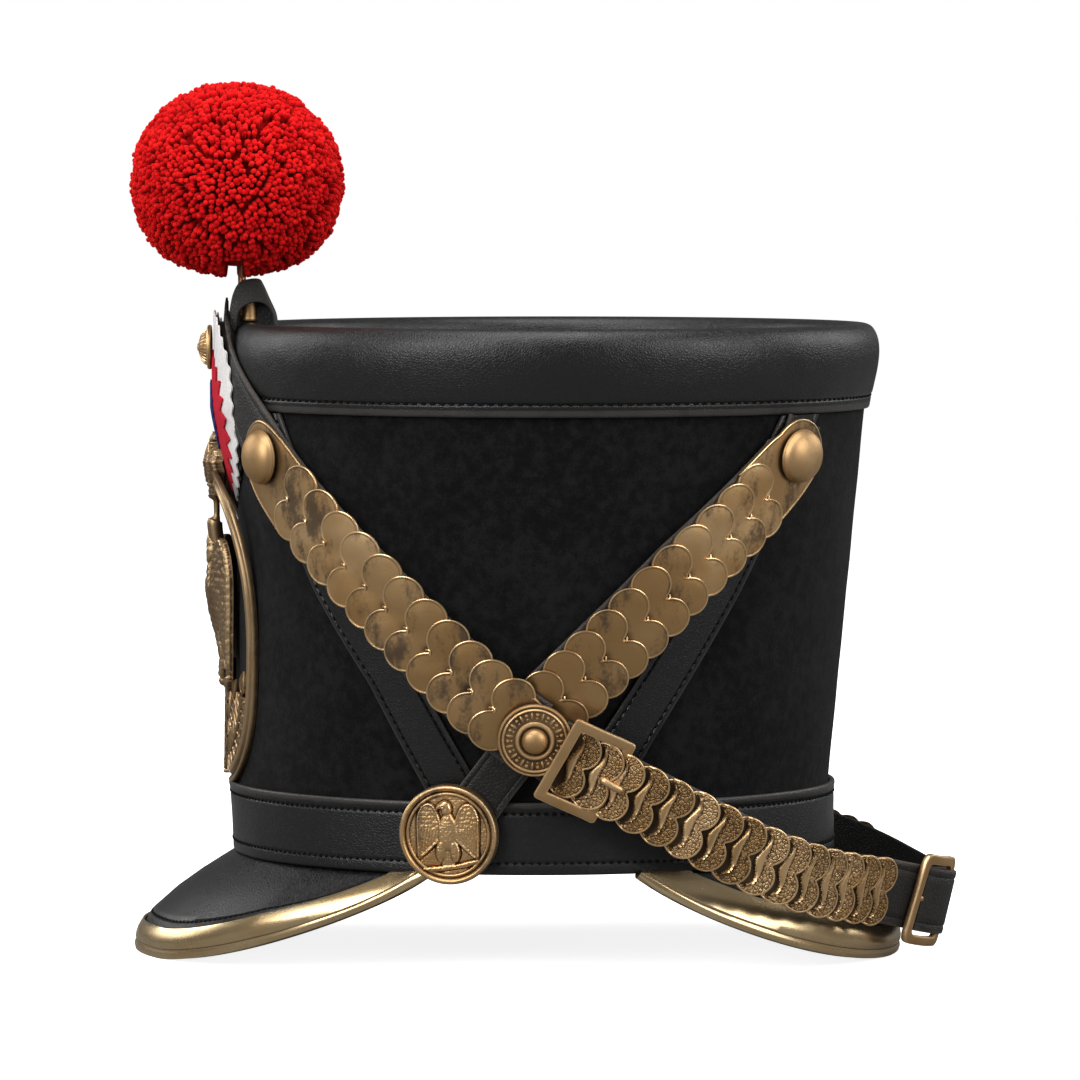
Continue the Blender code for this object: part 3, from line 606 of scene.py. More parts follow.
def build_grain_group():
    """Leather: small cells with soft creases between them, and broad soft wrinkles."""
    tree, given, out = new_group("Leather grain", {"Cells per metre": 900.0, "Wrinkle": 0.4}, ("Height", "Tone"))
    place = given["Vector"]
    shove = add_node(tree, "TexNoise", {"Vector": place, "Scale": 400.0, "Detail": 2.0}).outputs["Color"]
    small = add_node(tree, "VectorMath", {0: shove, 3: 0.0012}, operation="SCALE").outputs[0]
    bent = add_node(tree, "VectorMath", {0: place, 1: small}, operation="ADD").outputs[0]
    cells = add_node(tree, "TexVoronoi", {"Vector": bent, "Scale": given["Cells per metre"]},
                     feature="DISTANCE_TO_EDGE").outputs["Distance"]
    pillow = ramp(tree, cells, 0.0, 0.28)
    broad = noise(tree, place, 55.0, 4.0)
    fine = noise(tree, place, 2600.0, 2.0)
    height = plus(tree, times(tree, pillow, 0.6), times(tree, fine, 0.25))
    plug(tree, out["Height"], plus(tree, height, times(tree, broad, given["Wrinkle"])))
    plug(tree, out["Tone"], plus(tree, times(tree, broad, 0.7), times(tree, pillow, 0.3)))


def build_wear_and_shade_group():
    """Which parts of a surface are rubbed bright, with a painted highlight on raised edges, and which hold dirt and
    painted shade in hollows, from the relief mark and uneven noise.
    """
    tree, given, out = new_group("Wear and shade", {"Relief": 0.5, "Unevenness": 0.3, "Spot size": 180.0},
                                 ("Rubbed", "Dirt and shade"))
    patch = minus(tree, noise(tree, given["Vector"], given["Spot size"], 4.0), 0.5)
    level = plus(tree, given["Relief"], times(tree, patch, given["Unevenness"]))
    plug(tree, out["Rubbed"], ramp(tree, level, 0.58, 0.95))
    plug(tree, out["Dirt and shade"], ramp(tree, level, 0.42, 0.08))


def build_patina_group():
    """Old tarnish: dark clouds with torn edges, and small dark specks."""
    tree, given, out = new_group("Patina", {"Cloud size": 70.0, "Threshold": 0.55}, ("Clouds", "Specks", "Height"))
    place = given["Vector"]
    drawn = add_node(tree, "Mapping", {"Vector": place, "Scale": (1.0, 1.0, 0.42)}).outputs["Vector"]
    big = noise(tree, drawn, given["Cloud size"], 6.0, 0.62)
    torn = noise(tree, place, 900.0, 3.0)
    level = plus(tree, big, times(tree, minus(tree, torn, 0.5), 0.16))
    plug(tree, out["Clouds"], ramp(tree, minus(tree, level, given["Threshold"]), 0.0, 0.16))
    speck = add_node(tree, "TexVoronoi", {"Vector": place, "Scale": 520.0}).outputs["Distance"]
    plug(tree, out["Specks"], ramp(tree, speck, 0.16, 0.05))
    plug(tree, out["Height"], plus(tree, torn, times(tree, big, 0.8)))


def build_fibre_group():
    """Felted or spun wool: fine crossing hairs over soft lumps."""
    tree, given, out = new_group("Fibre", {"Hairs per metre": 1600.0}, ("Height", "Tone"))
    place = given["Vector"]
    hair = noise(tree, place, given["Hairs per metre"], 5.0, 0.7)
    lump = noise(tree, place, 260.0, 4.0, 0.6)
    broad = noise(tree, place, 42.0, 5.0, 0.65)
    plug(tree, out["Height"], plus(tree, hair, times(tree, lump, 0.7)))
    mixed = plus(tree, times(tree, broad, 0.25), times(tree, lump, 0.4))
    plug(tree, out["Tone"], plus(tree, mixed, times(tree, hair, 0.35)))


def build_dust_group():
    """Fine pale dust that settles on what faces up."""
    tree, given, out = new_group("Dust", {"Amount": 0.3}, ("Dust",))
    up = add_node(tree, "SeparateXYZ", {0: add_node(tree, "NewGeometry").outputs["Normal"]}).outputs["Z"]
    grain = noise(tree, given["Vector"], 700.0, 3.0)
    settled = times(tree, ramp(tree, up, 0.1, 0.95), ramp(tree, grain, 0.4, 0.75))
    plug(tree, out["Dust"], times(tree, settled, given["Amount"]))


def start_material(name):
    """An empty material: its tree, its shader and its place in space."""
    made = bpy.data.materials.new(name)
    made.use_nodes = True
    tree = made.node_tree
    return tree, tree.nodes["Principled BSDF"], add_node(tree, "TexCoord").outputs["Object"]


def vertex_mark(tree, name):
    return add_node(tree, "Attribute", attribute_name=name).outputs["Fac"]


def set_bump(tree, shader, height, distance, strength):
    bump = add_node(tree, "Bump", {"Height": height, "Distance": distance, "Strength": strength})
    plug(tree, shader.inputs["Normal"], bump.outputs["Normal"])


def felt_finish(colour):
    tree, shader, place = start_material("black felt")
    fibre = use_group(tree, "Fibre", place, Hairs_per_metre=1500.0)
    dust = use_group(tree, "Dust", place, Amount=0.05)
    worn = mix_colour(tree, ramp(tree, fibre["Tone"], 0.42, 0.6), scaled(colour, 0.4), scaled(colour, 2.1))
    plug_all(tree, shader, {"Base Color": mix_colour(tree, dust["Dust"], worn, (0.12, 0.115, 0.105)),
                            "Roughness": ramp(tree, fibre["Tone"], 0.3, 0.7, 0.88, 0.98),
                            "Specular IOR Level": 0.12, "Sheen Weight": 0.03, "Sheen Roughness": 0.5})
    set_bump(tree, shader, fibre["Height"], 0.00035, 0.9)


def leather_finish(name, colour, rough, cells, depth, wrinkle=0.4, edge=(0.05, 0.045, 0.04), gloss=0.42):
    tree, shader, place = start_material(name)
    grain = use_group(tree, "Leather grain", place, Cells_per_metre=cells, Wrinkle=wrinkle)
    rub_and_shade = use_group(tree, "Wear and shade", place, Relief=vertex_mark(tree, "relief"), Unevenness=0.5, Spot_size=120.0)
    dust = use_group(tree, "Dust", place, Amount=0.05)["Dust"]
    tone = mix_colour(tree, ramp(tree, grain["Tone"], 0.35, 0.75), scaled(colour, 0.7), scaled(colour, 1.35))
    rubbed = mix_colour(tree, times(tree, rub_and_shade["Rubbed"], 0.6), tone, edge)
    # Hollows such as pressed lines and seam grooves darken towards black: dirt and painted shade.
    dirt_and_shade = mix_colour(tree, times(tree, rub_and_shade["Dirt and shade"], 0.7), rubbed, (0.003, 0.003, 0.003))
    dullness = ramp(tree, grain["Tone"], 0.3, 0.8, rough + 0.08, rough - 0.06)
    plug_all(tree, shader, {"Base Color": mix_colour(tree, dust, dirt_and_shade, (0.2, 0.19, 0.17)),
                            "Roughness": plus(tree, dullness, times(tree, dust, 2.0), clamp=True),
                            "Specular IOR Level": gloss})
    set_bump(tree, shader, grain["Height"], depth, 0.8)


def pebble_mask(tree, place, relief):
    """Flat pebbles where the relief mark is that of a grained field: their tops, and the gaps between them."""
    edge = add_node(tree, "TexVoronoi", {"Vector": place, "Scale": 780.0},
                    feature="DISTANCE_TO_EDGE").outputs["Distance"]
    field = times(tree, ramp(tree, relief, 0.6, 0.52), ramp(tree, relief, 0.16, 0.32))
    top = ramp(tree, edge, 0.04, 0.2)
    return times(tree, top, field), times(tree, minus(tree, 1.0, top), field)


def brass_finish(name, mid, bright, dark, rough, clouds=0.56, cloud_share=0.6, pitted=0.00006, pebbled=False):
    tree, shader, place = start_material(name)
    relief, tint = vertex_mark(tree, "relief"), vertex_mark(tree, "tint")
    if pebbled:
        pebbles, gap = pebble_mask(tree, place, relief)
        relief = minus(tree, plus(tree, relief, times(tree, pebbles, 0.2)), times(tree, gap, 0.27))
    rub_and_shade = use_group(tree, "Wear and shade", place, Relief=relief, Unevenness=0.22, Spot_size=160.0)
    step = add_node(tree, "CombineXYZ", {0: times(tree, tint, 0.9), 2: tint}).outputs[0]
    own = add_node(tree, "VectorMath", {0: place, 1: step}, operation="ADD").outputs[0]
    patina = use_group(tree, "Patina", own, Cloud_size=85.0, Threshold=clouds)
    lit = mix_colour(tree, ramp(tree, noise(tree, place, 38.0, 3.0), 0.35, 0.65), mid,
                     tuple(0.3 * a + 0.7 * b for a, b in zip(mid, bright)))
    # Painted light: the second vertex mark shares between a painted shaded copy of the brass, at two thirds, and the
    # lit one.
    shaded = mix_colour(tree, ramp(tree, tint, 0.0, 1.0), scaled(mid, 0.66), lit)
    cloudy = mix_colour(tree, times(tree, patina["Clouds"], cloud_share), shaded, dark)
    specked = mix_colour(tree, times(tree, patina["Specks"], 0.25), cloudy, dark)
    rubbed = mix_colour(tree, rub_and_shade["Rubbed"], specked, bright)
    gloss = ramp(tree, rub_and_shade["Rubbed"], 0.0, 1.0, rough, rough - 0.12)
    dull = plus(tree, gloss, times(tree, patina["Clouds"], 0.14))
    # Hollows darken towards the tarnish: tarnish kept in them, and painted shade.
    plug_all(tree, shader, {
        "Base Color": mix_colour(tree, times(tree, rub_and_shade["Dirt and shade"], 0.88), rubbed, scaled(dark, 0.35)),
        "Roughness": plus(tree, dull, times(tree, rub_and_shade["Dirt and shade"], 0.3), clamp=True),
        "Metallic": 1.0})
    height = plus(tree, patina["Height"], times(tree, pebbles, 5.0)) if pebbled else patina["Height"]
    set_bump(tree, shader, height, pitted, 0.8)


def wool_finish(colour):
    tree, shader, place = start_material("red wool")
    relief, tint = vertex_mark(tree, "relief"), vertex_mark(tree, "tint")
    fibre = use_group(tree, "Fibre", place, Hairs_per_metre=2200.0)
    lit = (min(1.0, colour[0] * 1.3), colour[1] * 3.0 + 0.006, colour[2] * 1.5 + 0.002)
    strand = mix_colour(tree, tint, scaled(colour, 0.7), lit)
    # Painted shade: darker towards the strands' roots and the core, by the relief mark.
    shaded = mix_colour(tree, ramp(tree, relief, 0.0, 1.0), scaled(colour, 0.34), strand)
    plug_all(tree, shader, {
        "Base Color": mix_colour(tree, ramp(tree, fibre["Height"], 0.6, 1.1, 0.0, 0.3), shaded, lit),
        "Roughness": ramp(tree, fibre["Tone"], 0.3, 0.7, 0.85, 0.98), "Specular IOR Level": 0.03,
        "Sheen Weight": 0.3, "Sheen Roughness": 0.35, "Sheen Tint": (1.0, 0.2, 0.1, 1.0)})
    set_bump(tree, shader, fibre["Height"], 0.0003, 0.9)


def cloth_finish(name, colour):
    tree, shader, place = start_material(name)
    fibre = use_group(tree, "Fibre", place, Hairs_per_metre=1800.0)
    shade = mix_colour(tree, ramp(tree, fibre["Tone"], 0.35, 0.68), scaled(colour, 0.8),
                       tuple(min(1.0, 1.06 * c) for c in colour))
    # Darker where the relief mark is low: most on the cloth's back face.
    low_relief_darkening = ramp(tree, vertex_mark(tree, "relief"), 0.5, 0.0, 0.0, 0.45)
    plug_all(tree, shader, {"Base Color": mix_colour(tree, low_relief_darkening, shade, scaled(colour, 0.5)),
                            "Roughness": ramp(tree, fibre["Tone"], 0.3, 0.7, 0.86, 0.98),
                            "Specular IOR Level": 0.2})
    set_bump(tree, shader, fibre["Height"], 0.00022, 0.8)


def floor_finish(colour):
    """A pale floor that the camera sees evenly lit, and that throws little light back at the hat."""
    tree, shader, place = start_material("pale floor")
    plug_all(tree, shader, {
        "Base Color": mix_colour(tree, noise(tree, place, 30.0, 3.0), scaled(colour, 0.985), colour),
        "Roughness": 0.9, "Specular IOR Level": 0.0, "Emission Color": WHITE, "Emission Strength": 0.86})
    bounce = add_node(tree, "BsdfDiffuse", {"Color": (0.2, 0.2, 0.2, 1.0)})
    seen = add_node(tree, "MixShader", {0: add_node(tree, "LightPath").outputs["Is Camera Ray"],
                                        1: bounce.outputs[0], 2: shader.outputs[0]})
    plug(tree, tree.nodes["Material Output"].inputs["Surface"], seen.outputs[0])


# --- Felt and leather ---------------------------------------------------------------------------------------

TOP_SEAM = 196.4
BASE_SEAMS = (39.6, 56.4)
# Stitched seams: height, pitch and lift of the thread
BAND_STITCHES = ((TOP_SEAM, 3.0, 1.8), (BASE_SEAMS[0], 2.6, 2.9), (BASE_SEAMS[1], 2.6, 2.1))
BAND_ROUND = 2 * math.pi * math.sqrt((105.0 ** 2 + 95.0 ** 2) / 2)


def oval_skin(shape, profile, relief, steps, rough=0.0, wave=18.0):
    """A closed (lift, height) section carried round the crown, with soft unevenness of rough mm."""
    turns = np.linspace(0.0, 360.0, steps, endpoint=False)
    lift, z = np.asarray(profile, float).T
    rings = on_crown(turns[:, None], z[None], lift[None])
    if rough:
        rings = on_crown(turns[:, None], z[None],
                         lift[None] + rough * wobble(rings.reshape(-1, 3), wave).reshape(rings.shape[:2]))
    shape.loft(rings, np.tile(relief, steps), loop=True)


def build_felt():
    shape = Shape()
    z = np.linspace(FELT_LOW, FELT_TOP, 60)
    profile = [(0.0, h) for h in z] + [(-2.5, h) for h in z[::-1][::6]]
    oval_skin(shape, profile, np.full(len(profile), 0.5), 200, rough=0.1, wave=26.0)
    shape.piece("felt_crown", "black felt", "felt", ["crown_shell"])


def build_top_leather():
    outer = smooth_path([(1.75, 192.6), (1.9, 194.6), (1.95, 195.7), (1.45, TOP_SEAM), (2.2, 197.3), (2.7, 200.0),
                         (3.25, 204.0), (3.5, 208.0), (3.35, 212.0), (2.6, 216.0), (1.2, 218.9), (-0.6, 220.7),
                         (-2.9, 221.55), (-5.2, 221.3), (-7.2, 219.8), (-8.2, 216.6), (-8.4, 212.0), (-8.4, 206.8)],
                        steps=4)
    inner = [(-7.0, 206.6), (-3.8, 214.8), (0.3, 214.8), (0.3, 192.0), (1.5, 192.0)]
    profile = np.concatenate([outer, inner])
    relief = np.full(len(profile), 0.5)
    # The lower edge is marked bright, and the sunk stitch line gets painted shade.
    relief[:4] = 0.9
    relief[10:14] = (0.15, 0.0, 0.05, 0.3)
    shape = Shape()
    oval_skin(shape, profile, relief, 240, rough=0.12, wave=14.0)
    shape.piece("top_leather", "black leather", "leather", ["top_band"])


def build_base_leather():
    low, high = BASE_SEAMS
    profile = rounded([(0.3, 35.4), (2.9, 35.4), (3.1, 36.6), (2.95, low - 0.9), (2.6, low), (2.9, low + 0.9),
                       (2.45, 48.0), (2.15, high - 0.9), (1.7, high), (2.2, high + 0.9), (2.45, 59.4),
                       (2.1, 60.2), (0.3, 60.2)], 0.7, 3)
    # A brighter top edge, and painted shade along the two sunk seam lines.
    relief = 0.5 + 0.45 * (profile[:, 1] > 59.0) - 0.15 * np.exp(-((profile[:, 1] - low) / 0.45) ** 2) \
        - 0.15 * np.exp(-((profile[:, 1] - high) / 0.45) ** 2)
    shape = Shape()
    oval_skin(shape, profile, relief, 240, rough=0.06, wave=16.0)
    shape.piece("base_leather", "black leather", "leather", ["base_band"])


def build_crown_disc():
    """The sunken top: a leather disc with a rolled welt where it meets the rim."""
    shares = np.concatenate([np.linspace(0.04, 0.86, 14), [0.9, 0.93, 0.945, 0.96, 0.975, 0.99, 1.0]])
    rise = np.interp(shares, (0.0, 0.6, 0.9, 0.93, 0.945, 0.96, 0.975, 0.99, 1.0),
                     (-0.4, -0.25, 0.0, -0.15, 0.5, 0.8, 0.5, -0.1, -0.3))
    turns = np.linspace(0.0, 360.0, 160, endpoint=False)
    rings = []
    for share, up in zip(shares, rise):
        ring = on_crown(turns, 212.6, -9.0) * (share, share, 1.0)
        ring[:, 1] += (1.0 - share) * 8.0
        ring[:, 2] = 212.4 + up + 0.15 * wobble(ring, 40.0)
        rings.append(ring)
    bottom = [ring * (1.0, 1.0, 0.0) + (0.0, 0.0, 210.3) for ring in (rings[-1], rings[0])]
    # Painted shade: the sunken disc darker where it lies low, its raised welt brighter.
    relief = np.repeat(np.concatenate([np.interp(rise, (-0.4, 0.8), (0.4, 0.9)), (0.4, 0.4)]), len(turns))
    shape = Shape()
    shape.loft(rings + bottom, relief, loop=True)
    cap = np.concatenate([rings[0], bottom[1]])
    middle = np.arange(len(turns))
    shape.add(cap, [middle[None], (middle + len(turns))[None, ::-1]], 0.5)
    shape.piece("crown_disc", "black leather", "leather", ["crown_top"])


def chevron_half_turn(middle, z):
    return 1.0 / np.linalg.norm(on_crown(middle + 0.5, z) - on_crown(middle - 0.5, z), axis=-1)


def build_chevrons(side, word):
    seams = Shape()
    for name, rows in (("front", FRONT_CHEVRON), ("rear", REAR_CHEVRON)):
        rows = np.array(rows)
        z = np.linspace(rows[-1, 1], rows[0, 1], 60)
        middle = np.interp(z, rows[::-1, 1], rows[::-1, 0])
        v, w = strap_section(CHEVRON_HALF, LEATHER, bulge=0.05)
        unit = chevron_half_turn(middle, z)
        rings = on_crown(middle[:, None] + v * unit[:, None], z[:, None], 0.5 + w[None])
        shape = Shape()
        shape.loft(rings, np.tile(STRAP_RELIEF, len(z)), caps=True)
        shape.piece(f"brace_{name}_{word}", "black leather", "leather", [f"{name}_chevron_{word}"],
                    mirror=side < 0)
        length = crown_route(rows)[0]
        spots = np.arange(3.0, length - 2.0, 3.1)
        for across in (-CHEVRON_HALF + 2.6, CHEVRON_HALF - 2.6):
            level = np.interp(spots, (0.0, length), (rows[0, 1], rows[-1, 1]))
            centre = np.interp(level, rows[::-1, 1], rows[::-1, 0])
            turn = centre + across * chevron_half_turn(centre, level)
            slope = np.degrees(np.arctan2(np.gradient(level), np.gradient(turn) / chevron_half_turn(centre, level)))
            stitches(seams, on_crown, np.stack([turn, level, np.full(len(spots), 2.15), slope], -1),
                     wide=1.0, high=0.75, scale=0.55)
    seams.piece(f"brace_stitches_{word}", "black thread", "leather", mirror=side < 0)


def build_band_stitches():
    shape = Shape()
    for z, pitch, lift in BAND_STITCHES:
        turns = np.linspace(0.0, 360.0, int(BAND_ROUND / pitch), endpoint=False)
        rows = np.stack([turns, np.full(len(turns), z), np.full(len(turns), lift), np.full(len(turns), 4.0)], -1)
        stitches(shape, on_crown, rows, long=0.66 * pitch, wide=1.0, high=0.7, scale=0.57)
    shape.piece("band_stitches", "black thread", "leather")


# --- Peaks --------------------------------------------------------------------------------------------------

PEAK_THICK = 2.2
TRIM_GAP = 0.45
TRIM_SHEET = 0.8
TRIM_LIP = 2.4
TRIM_COVER = {"front_peak": (7.3, 4.5), "rear_peak": (7.0, 9.5)}
PEAK_BULGE = 4.9
PEAK_LAST_CLIMB = 2.6
TRIM_UNDER = 4.0
PEAK_SHORT = 2.6
PEAK_STITCH_PITCH = 2.5


def peak_rim(peak, share):
    angle = share * math.pi / 2
    x = peak["wide"] * math.sin(angle)
    y = peak["centre"] + peak["deep"] * math.cos(angle)
    climbed = (y - peak["flat"]) / (peak["end"] - peak["flat"])
    climbed = max(0.0, climbed)
    return Vector((x, y, peak["climb"] * climbed ** peak["power"] + PEAK_LAST_CLIMB * climbed ** 9))


def peak_station(peak, share):
    """The trim's inner fold point, the way up the slope, the way out of the leather, the slope's length, the rim."""
    rim = peak_rim(peak, share)
    turn = peak["turn"] * share
    if peak["deep"] > 0.0:
        turn = 180.0 - turn
    slope = Vector(on_crown(turn, FELT_LOW + 0.5, -0.6)) - rim
    reach = slope.length
    slope.normalize()
    along = peak_rim(peak, share + 0.01) - peak_rim(peak, share - 0.01)
    out = slope.cross(along).normalized()
    out = out if out.z > 0.0 else -out
    outer = PEAK_THICK / 2 + TRIM_GAP + TRIM_SHEET
    core = rim + slope * TRIM_LIP + Vector((0.0, 0.0, outer * out.z - TRIM_LIP * slope.z - 0.25))
    return core, slope, out, reach, rim


def build_peak(name, peak, node, steps=150):
    half = PEAK_THICK / 2
    inner = half + TRIM_GAP
    outer = inner + TRIM_SHEET
    top = FELT_LOW + 0.9
    leather, trim, thread = [], [], []
    shares = np.linspace(-peak["span"], peak["span"], steps + 1)
    for share in shares:
        core, slope, out, reach, rim = peak_station(peak, share)
        length = max(reach - TRIM_LIP, PEAK_SHORT)
        bulge = PEAK_BULGE * min(1.0, length / 34.0) ** 2

        def at(along, rise):
            lifted = bulge * math.sin(math.pi * min(1.0, max(0.0, along) / length) ** 0.65)
            point = core + slope * along + out * (rise + lifted)
            return (point.x, point.y, min(max(point.z, rim.z), top))

        near, more = TRIM_COVER[node]
        cover, under = min(near + more * abs(share) ** 2.2, length - 1.2), min(TRIM_UNDER, length - 1.2)
        fold = min(1.0, length / 14.0)
        spots = [0.3] + [cover + 0.2 + (length - cover - 0.2) * t for t in (0.0, 0.035, 0.06, 0.085, 0.11, 0.16, 0.36,
                                                                           0.6, 0.8, 0.92, 1.0)]
        lifts = [0.0, 0.0, 0.1 * fold, 0.34 * fold, -0.12 * fold, 0.3 * fold, 0.06 * fold, 0.0, 0.0, 0.0, 0.0, 0.0]
        ring = [at(s, half + lift) for s, lift in zip(spots, lifts)]
        ring += [at(s, -half) for s in (length, 0.6 * length, 0.3)]
        ring = [(x, y, min(z, top - 0.05)) for x, y, z in ring]
        leather.append(ring)
        thread.append((at(spots[4], half - 0.02 * fold), at(spots[4] + 1.0, half - 0.02 * fold),
                       at(spots[4], half + 1.0)))
        trim.append([at(s, r) for s, r in (
            (cover, inner), (cover, outer - 0.2), (cover - 0.25, outer + 0.02), (cover * 0.75, outer + 0.12),
            (cover * 0.5, outer + 0.18), (cover * 0.25, outer + 0.14), (0.75, outer + 0.02), (0.4, outer - 0.32),
            (0.05, outer - 0.05), (-0.6, outer - 0.12), (-1.2, outer - 0.5), (-1.8, 0.95), (-2.15, 0.2),
            (-2.1, -0.6), (-1.6, -outer + 0.5), (-0.9, -outer + 0.1), (0.0, -outer), (under, -outer),
            (under, -inner), (0.0, -inner), (0.0, inner))])
    leather, trim, thread = np.array(leather), np.array(trim), np.array(thread)
    shape = Shape()
    # Relief marks across the leather: the welts brighter, painted shade in the pressed line between them.
    marks = np.array((0.2, 0.3, 0.6, 0.85, 0.0, 0.75, 0.5, 0.5, 0.5, 0.5, 0.4, 0.2, 0.3, 0.3, 0.3))
    shape.loft(leather, np.tile(marks, len(leather)), caps=True)
    shape.piece(f"{name}_leather", "peak leather", "leather", [node])
    shape = Shape()
    # Relief marks across the trim: painted shade in its crease line, brighter on the flange and the rolled lip.
    marks = np.array((0.3, 0.7, 0.9, 0.6, 0.5, 0.5, 0.7, 0.05, 0.6, 0.55, 0.6, 0.7, 0.75, 0.6, 0.5, 0.4, 0.3,
                      0.3, 0.2, 0.2, 0.2))
    shape.loft(trim, np.tile(marks, len(trim)), caps=True)
    shape.piece(f"{name}_brass", "bright brass", "bright_brass", [node + "_trim"], smooth=28.0)
    build_peak_stitches(name, thread)


def build_peak_stitches(name, thread):
    """Stitches along the pressed line of a peak, on (spot, spot up the slope, spot out) rows."""
    line = thread[:, 0]
    spans = lengths_along(line)

    def place(along, across, lift):
        base = np.stack([np.interp(along, spans, line[:, k]) for k in range(3)], -1)
        up = np.stack([np.interp(along, spans, (thread[:, 1] - line)[:, k]) for k in range(3)], -1)
        out = np.stack([np.interp(along, spans, (thread[:, 2] - line)[:, k]) for k in range(3)], -1)
        return base + up * np.asarray(across)[..., None] + out * np.asarray(lift)[..., None]

    spots = np.arange(10.0, spans[-1] - 10.0, PEAK_STITCH_PITCH)
    shape = Shape()
    rows = np.stack([spots, np.zeros(len(spots)), np.full(len(spots), 0.12), np.full(len(spots), 3.0)], -1)
    stitches(shape, place, rows, long=1.8, wide=0.9, high=0.7)
    shape.piece(f"{name}_stitches", "black thread", "leather")


# --- Crown straps and scales --------------------------------------------------------------------------------

LOBE_FILLET = 0.45
LOBE_FIRST = 35.0
# Rings of a lobed edge: offset inwards, rise and relief mark; the marks give a bright rim and, just inside it, a thin
# line of painted shade.
LOBE_RINGS = ((0.0, -0.75, 0.2), (0.0, -0.24, 0.62), (0.1, -0.02, 0.78), (0.34, 0.09, 0.82), (0.6, 0.04, 0.7),
              (0.85, -0.08, 0.24), (1.15, -0.07, 0.4), (1.6, 0.0, 0.5))


def lobed_edge(near, far, offset, radius, fillet, first, count):
    """The edge of a two-lobed scale, offset inwards: its points, and each point's share from 0 to 1.

    near and far are the lobes' centres at +v and -v. The lobes face -s and meet in a small rounded notch.
    """
    near, far = np.asarray(near, float), np.asarray(far, float)
    apart = far - near
    distance = np.linalg.norm(apart)
    reach = math.sqrt(max((radius + fillet) ** 2 - (distance / 2) ** 2, 0.01))
    side = np.array((apart[1], -apart[0])) / distance
    side = side if side[0] < 0.0 else -side
    notch = (near + far) / 2 + side * reach
    to_near = math.degrees(math.atan2(*(notch - near)[::-1])) % 360.0
    to_far = math.degrees(math.atan2(*(notch - far)[::-1])) % 360.0
    upper = np.radians(np.linspace(first, to_near, count))
    lower = np.radians(np.linspace(to_far, 360.0 - first, count))
    bend = np.radians(np.linspace(to_near - 180.0, to_far - 180.0, 7)[1:-1])
    around = [near + (radius - offset) * np.stack([np.cos(upper), np.sin(upper)], -1),
              notch + (fillet + offset) * np.stack([np.cos(bend), np.sin(bend)], -1),
              far + (radius - offset) * np.stack([np.cos(lower), np.sin(lower)], -1)]
    points = np.concatenate(around)
    return points, np.linspace(0.0, 1.0, len(points)), notch


def scale_plate(shape, place, near, far, radius, spine, top, facing=1.0, first=LOBE_FIRST, count=26, inner=6,
                tint=0.5):
    """One lapped scale. top(s, v) gives its face's height and relief, spine is where its hidden root lies."""
    rows, marks = [], []
    for offset, rise, mark in LOBE_RINGS:
        edge, share, notch = lobed_edge(near, far, offset, radius, LOBE_FILLET, first, count)
        s, v = edge[:, 0] * facing, edge[:, 1]
        height, relief = top(s, v)
        rows.append(np.stack([s, v, height + rise], -1))
        marks.append(np.where(mark == 0.5, relief, mark) + 0.0 * s)
    last = rows[-1]
    spread = (far[1] - near[1]) / 2
    root_v = (near[1] + far[1]) / 2 - spread * 1.5 * (1.0 - 2.0 * share)
    root = np.stack([np.full(len(share), spine * facing), root_v], -1)
    for t in np.linspace(0.0, 1.0, inner + 1)[1:]:
        flat = last[:, :2] * (1.0 - t) + root * t
        height, relief = top(flat[:, 0], flat[:, 1])
        rows.append(np.column_stack([flat, height]))
        marks.append(relief + 0.0 * height)
    rows.append(rows[-1] - (0.0, 0.0, 0.7))
    marks.append(np.full(len(share), 0.2))
    rings = np.stack(rows, axis=1)
    shape.loft(place(*np.moveaxis(rings, -1, 0)), np.stack(marks, axis=1), tint, caps=True)
    return notch


def end_plate(shape, place, rows, end, top):
    """The plain tongue under the rivet, its outline from (along, half width) rows."""
    rows = np.array([(-12.9, 0.0), *rows, (end, rows[-1][1])])
    half = smooth_path(rows, steps=8)
    outline = np.concatenate([half, (half * (1.0, -1.0))[::-1][:-1]])
    heading = np.roll(outline, -1, axis=0) - np.roll(outline, 1, axis=0)
    heading /= np.linalg.norm(heading, axis=1, keepdims=True)
    inward = np.stack([heading[:, 1], -heading[:, 0]], -1)
    rings, marks = [], []
    for offset, rise, mark in LOBE_RINGS:
        flat = outline + inward * offset
        rings.append(np.column_stack([flat, np.full(len(flat), top + rise)]))
        marks.append(np.full(len(flat), mark))
    edge = rings[-1]
    spine = np.column_stack([np.clip(edge[:, 0], -8.0, end), np.zeros(len(edge))])
    for t in (0.25, 0.5, 0.75, 1.0):
        flat = edge[:, :2] * (1.0 - t) + spine * t
        uneven = 0.16 * wobble(np.column_stack([flat, 0.0 * flat[:, 0]]), 15.0) * min(1.0, 2.0 * t)
        rings.append(np.column_stack([flat, top + uneven]))
        marks.append(np.full(len(flat), 0.5))
    rings = np.array([rings[0] - (0.0, 0.0, 0.3), *rings])
    marks = np.array([marks[0], *marks])
    shape.loft(place(*np.moveaxis(rings, -1, 0)), marks)


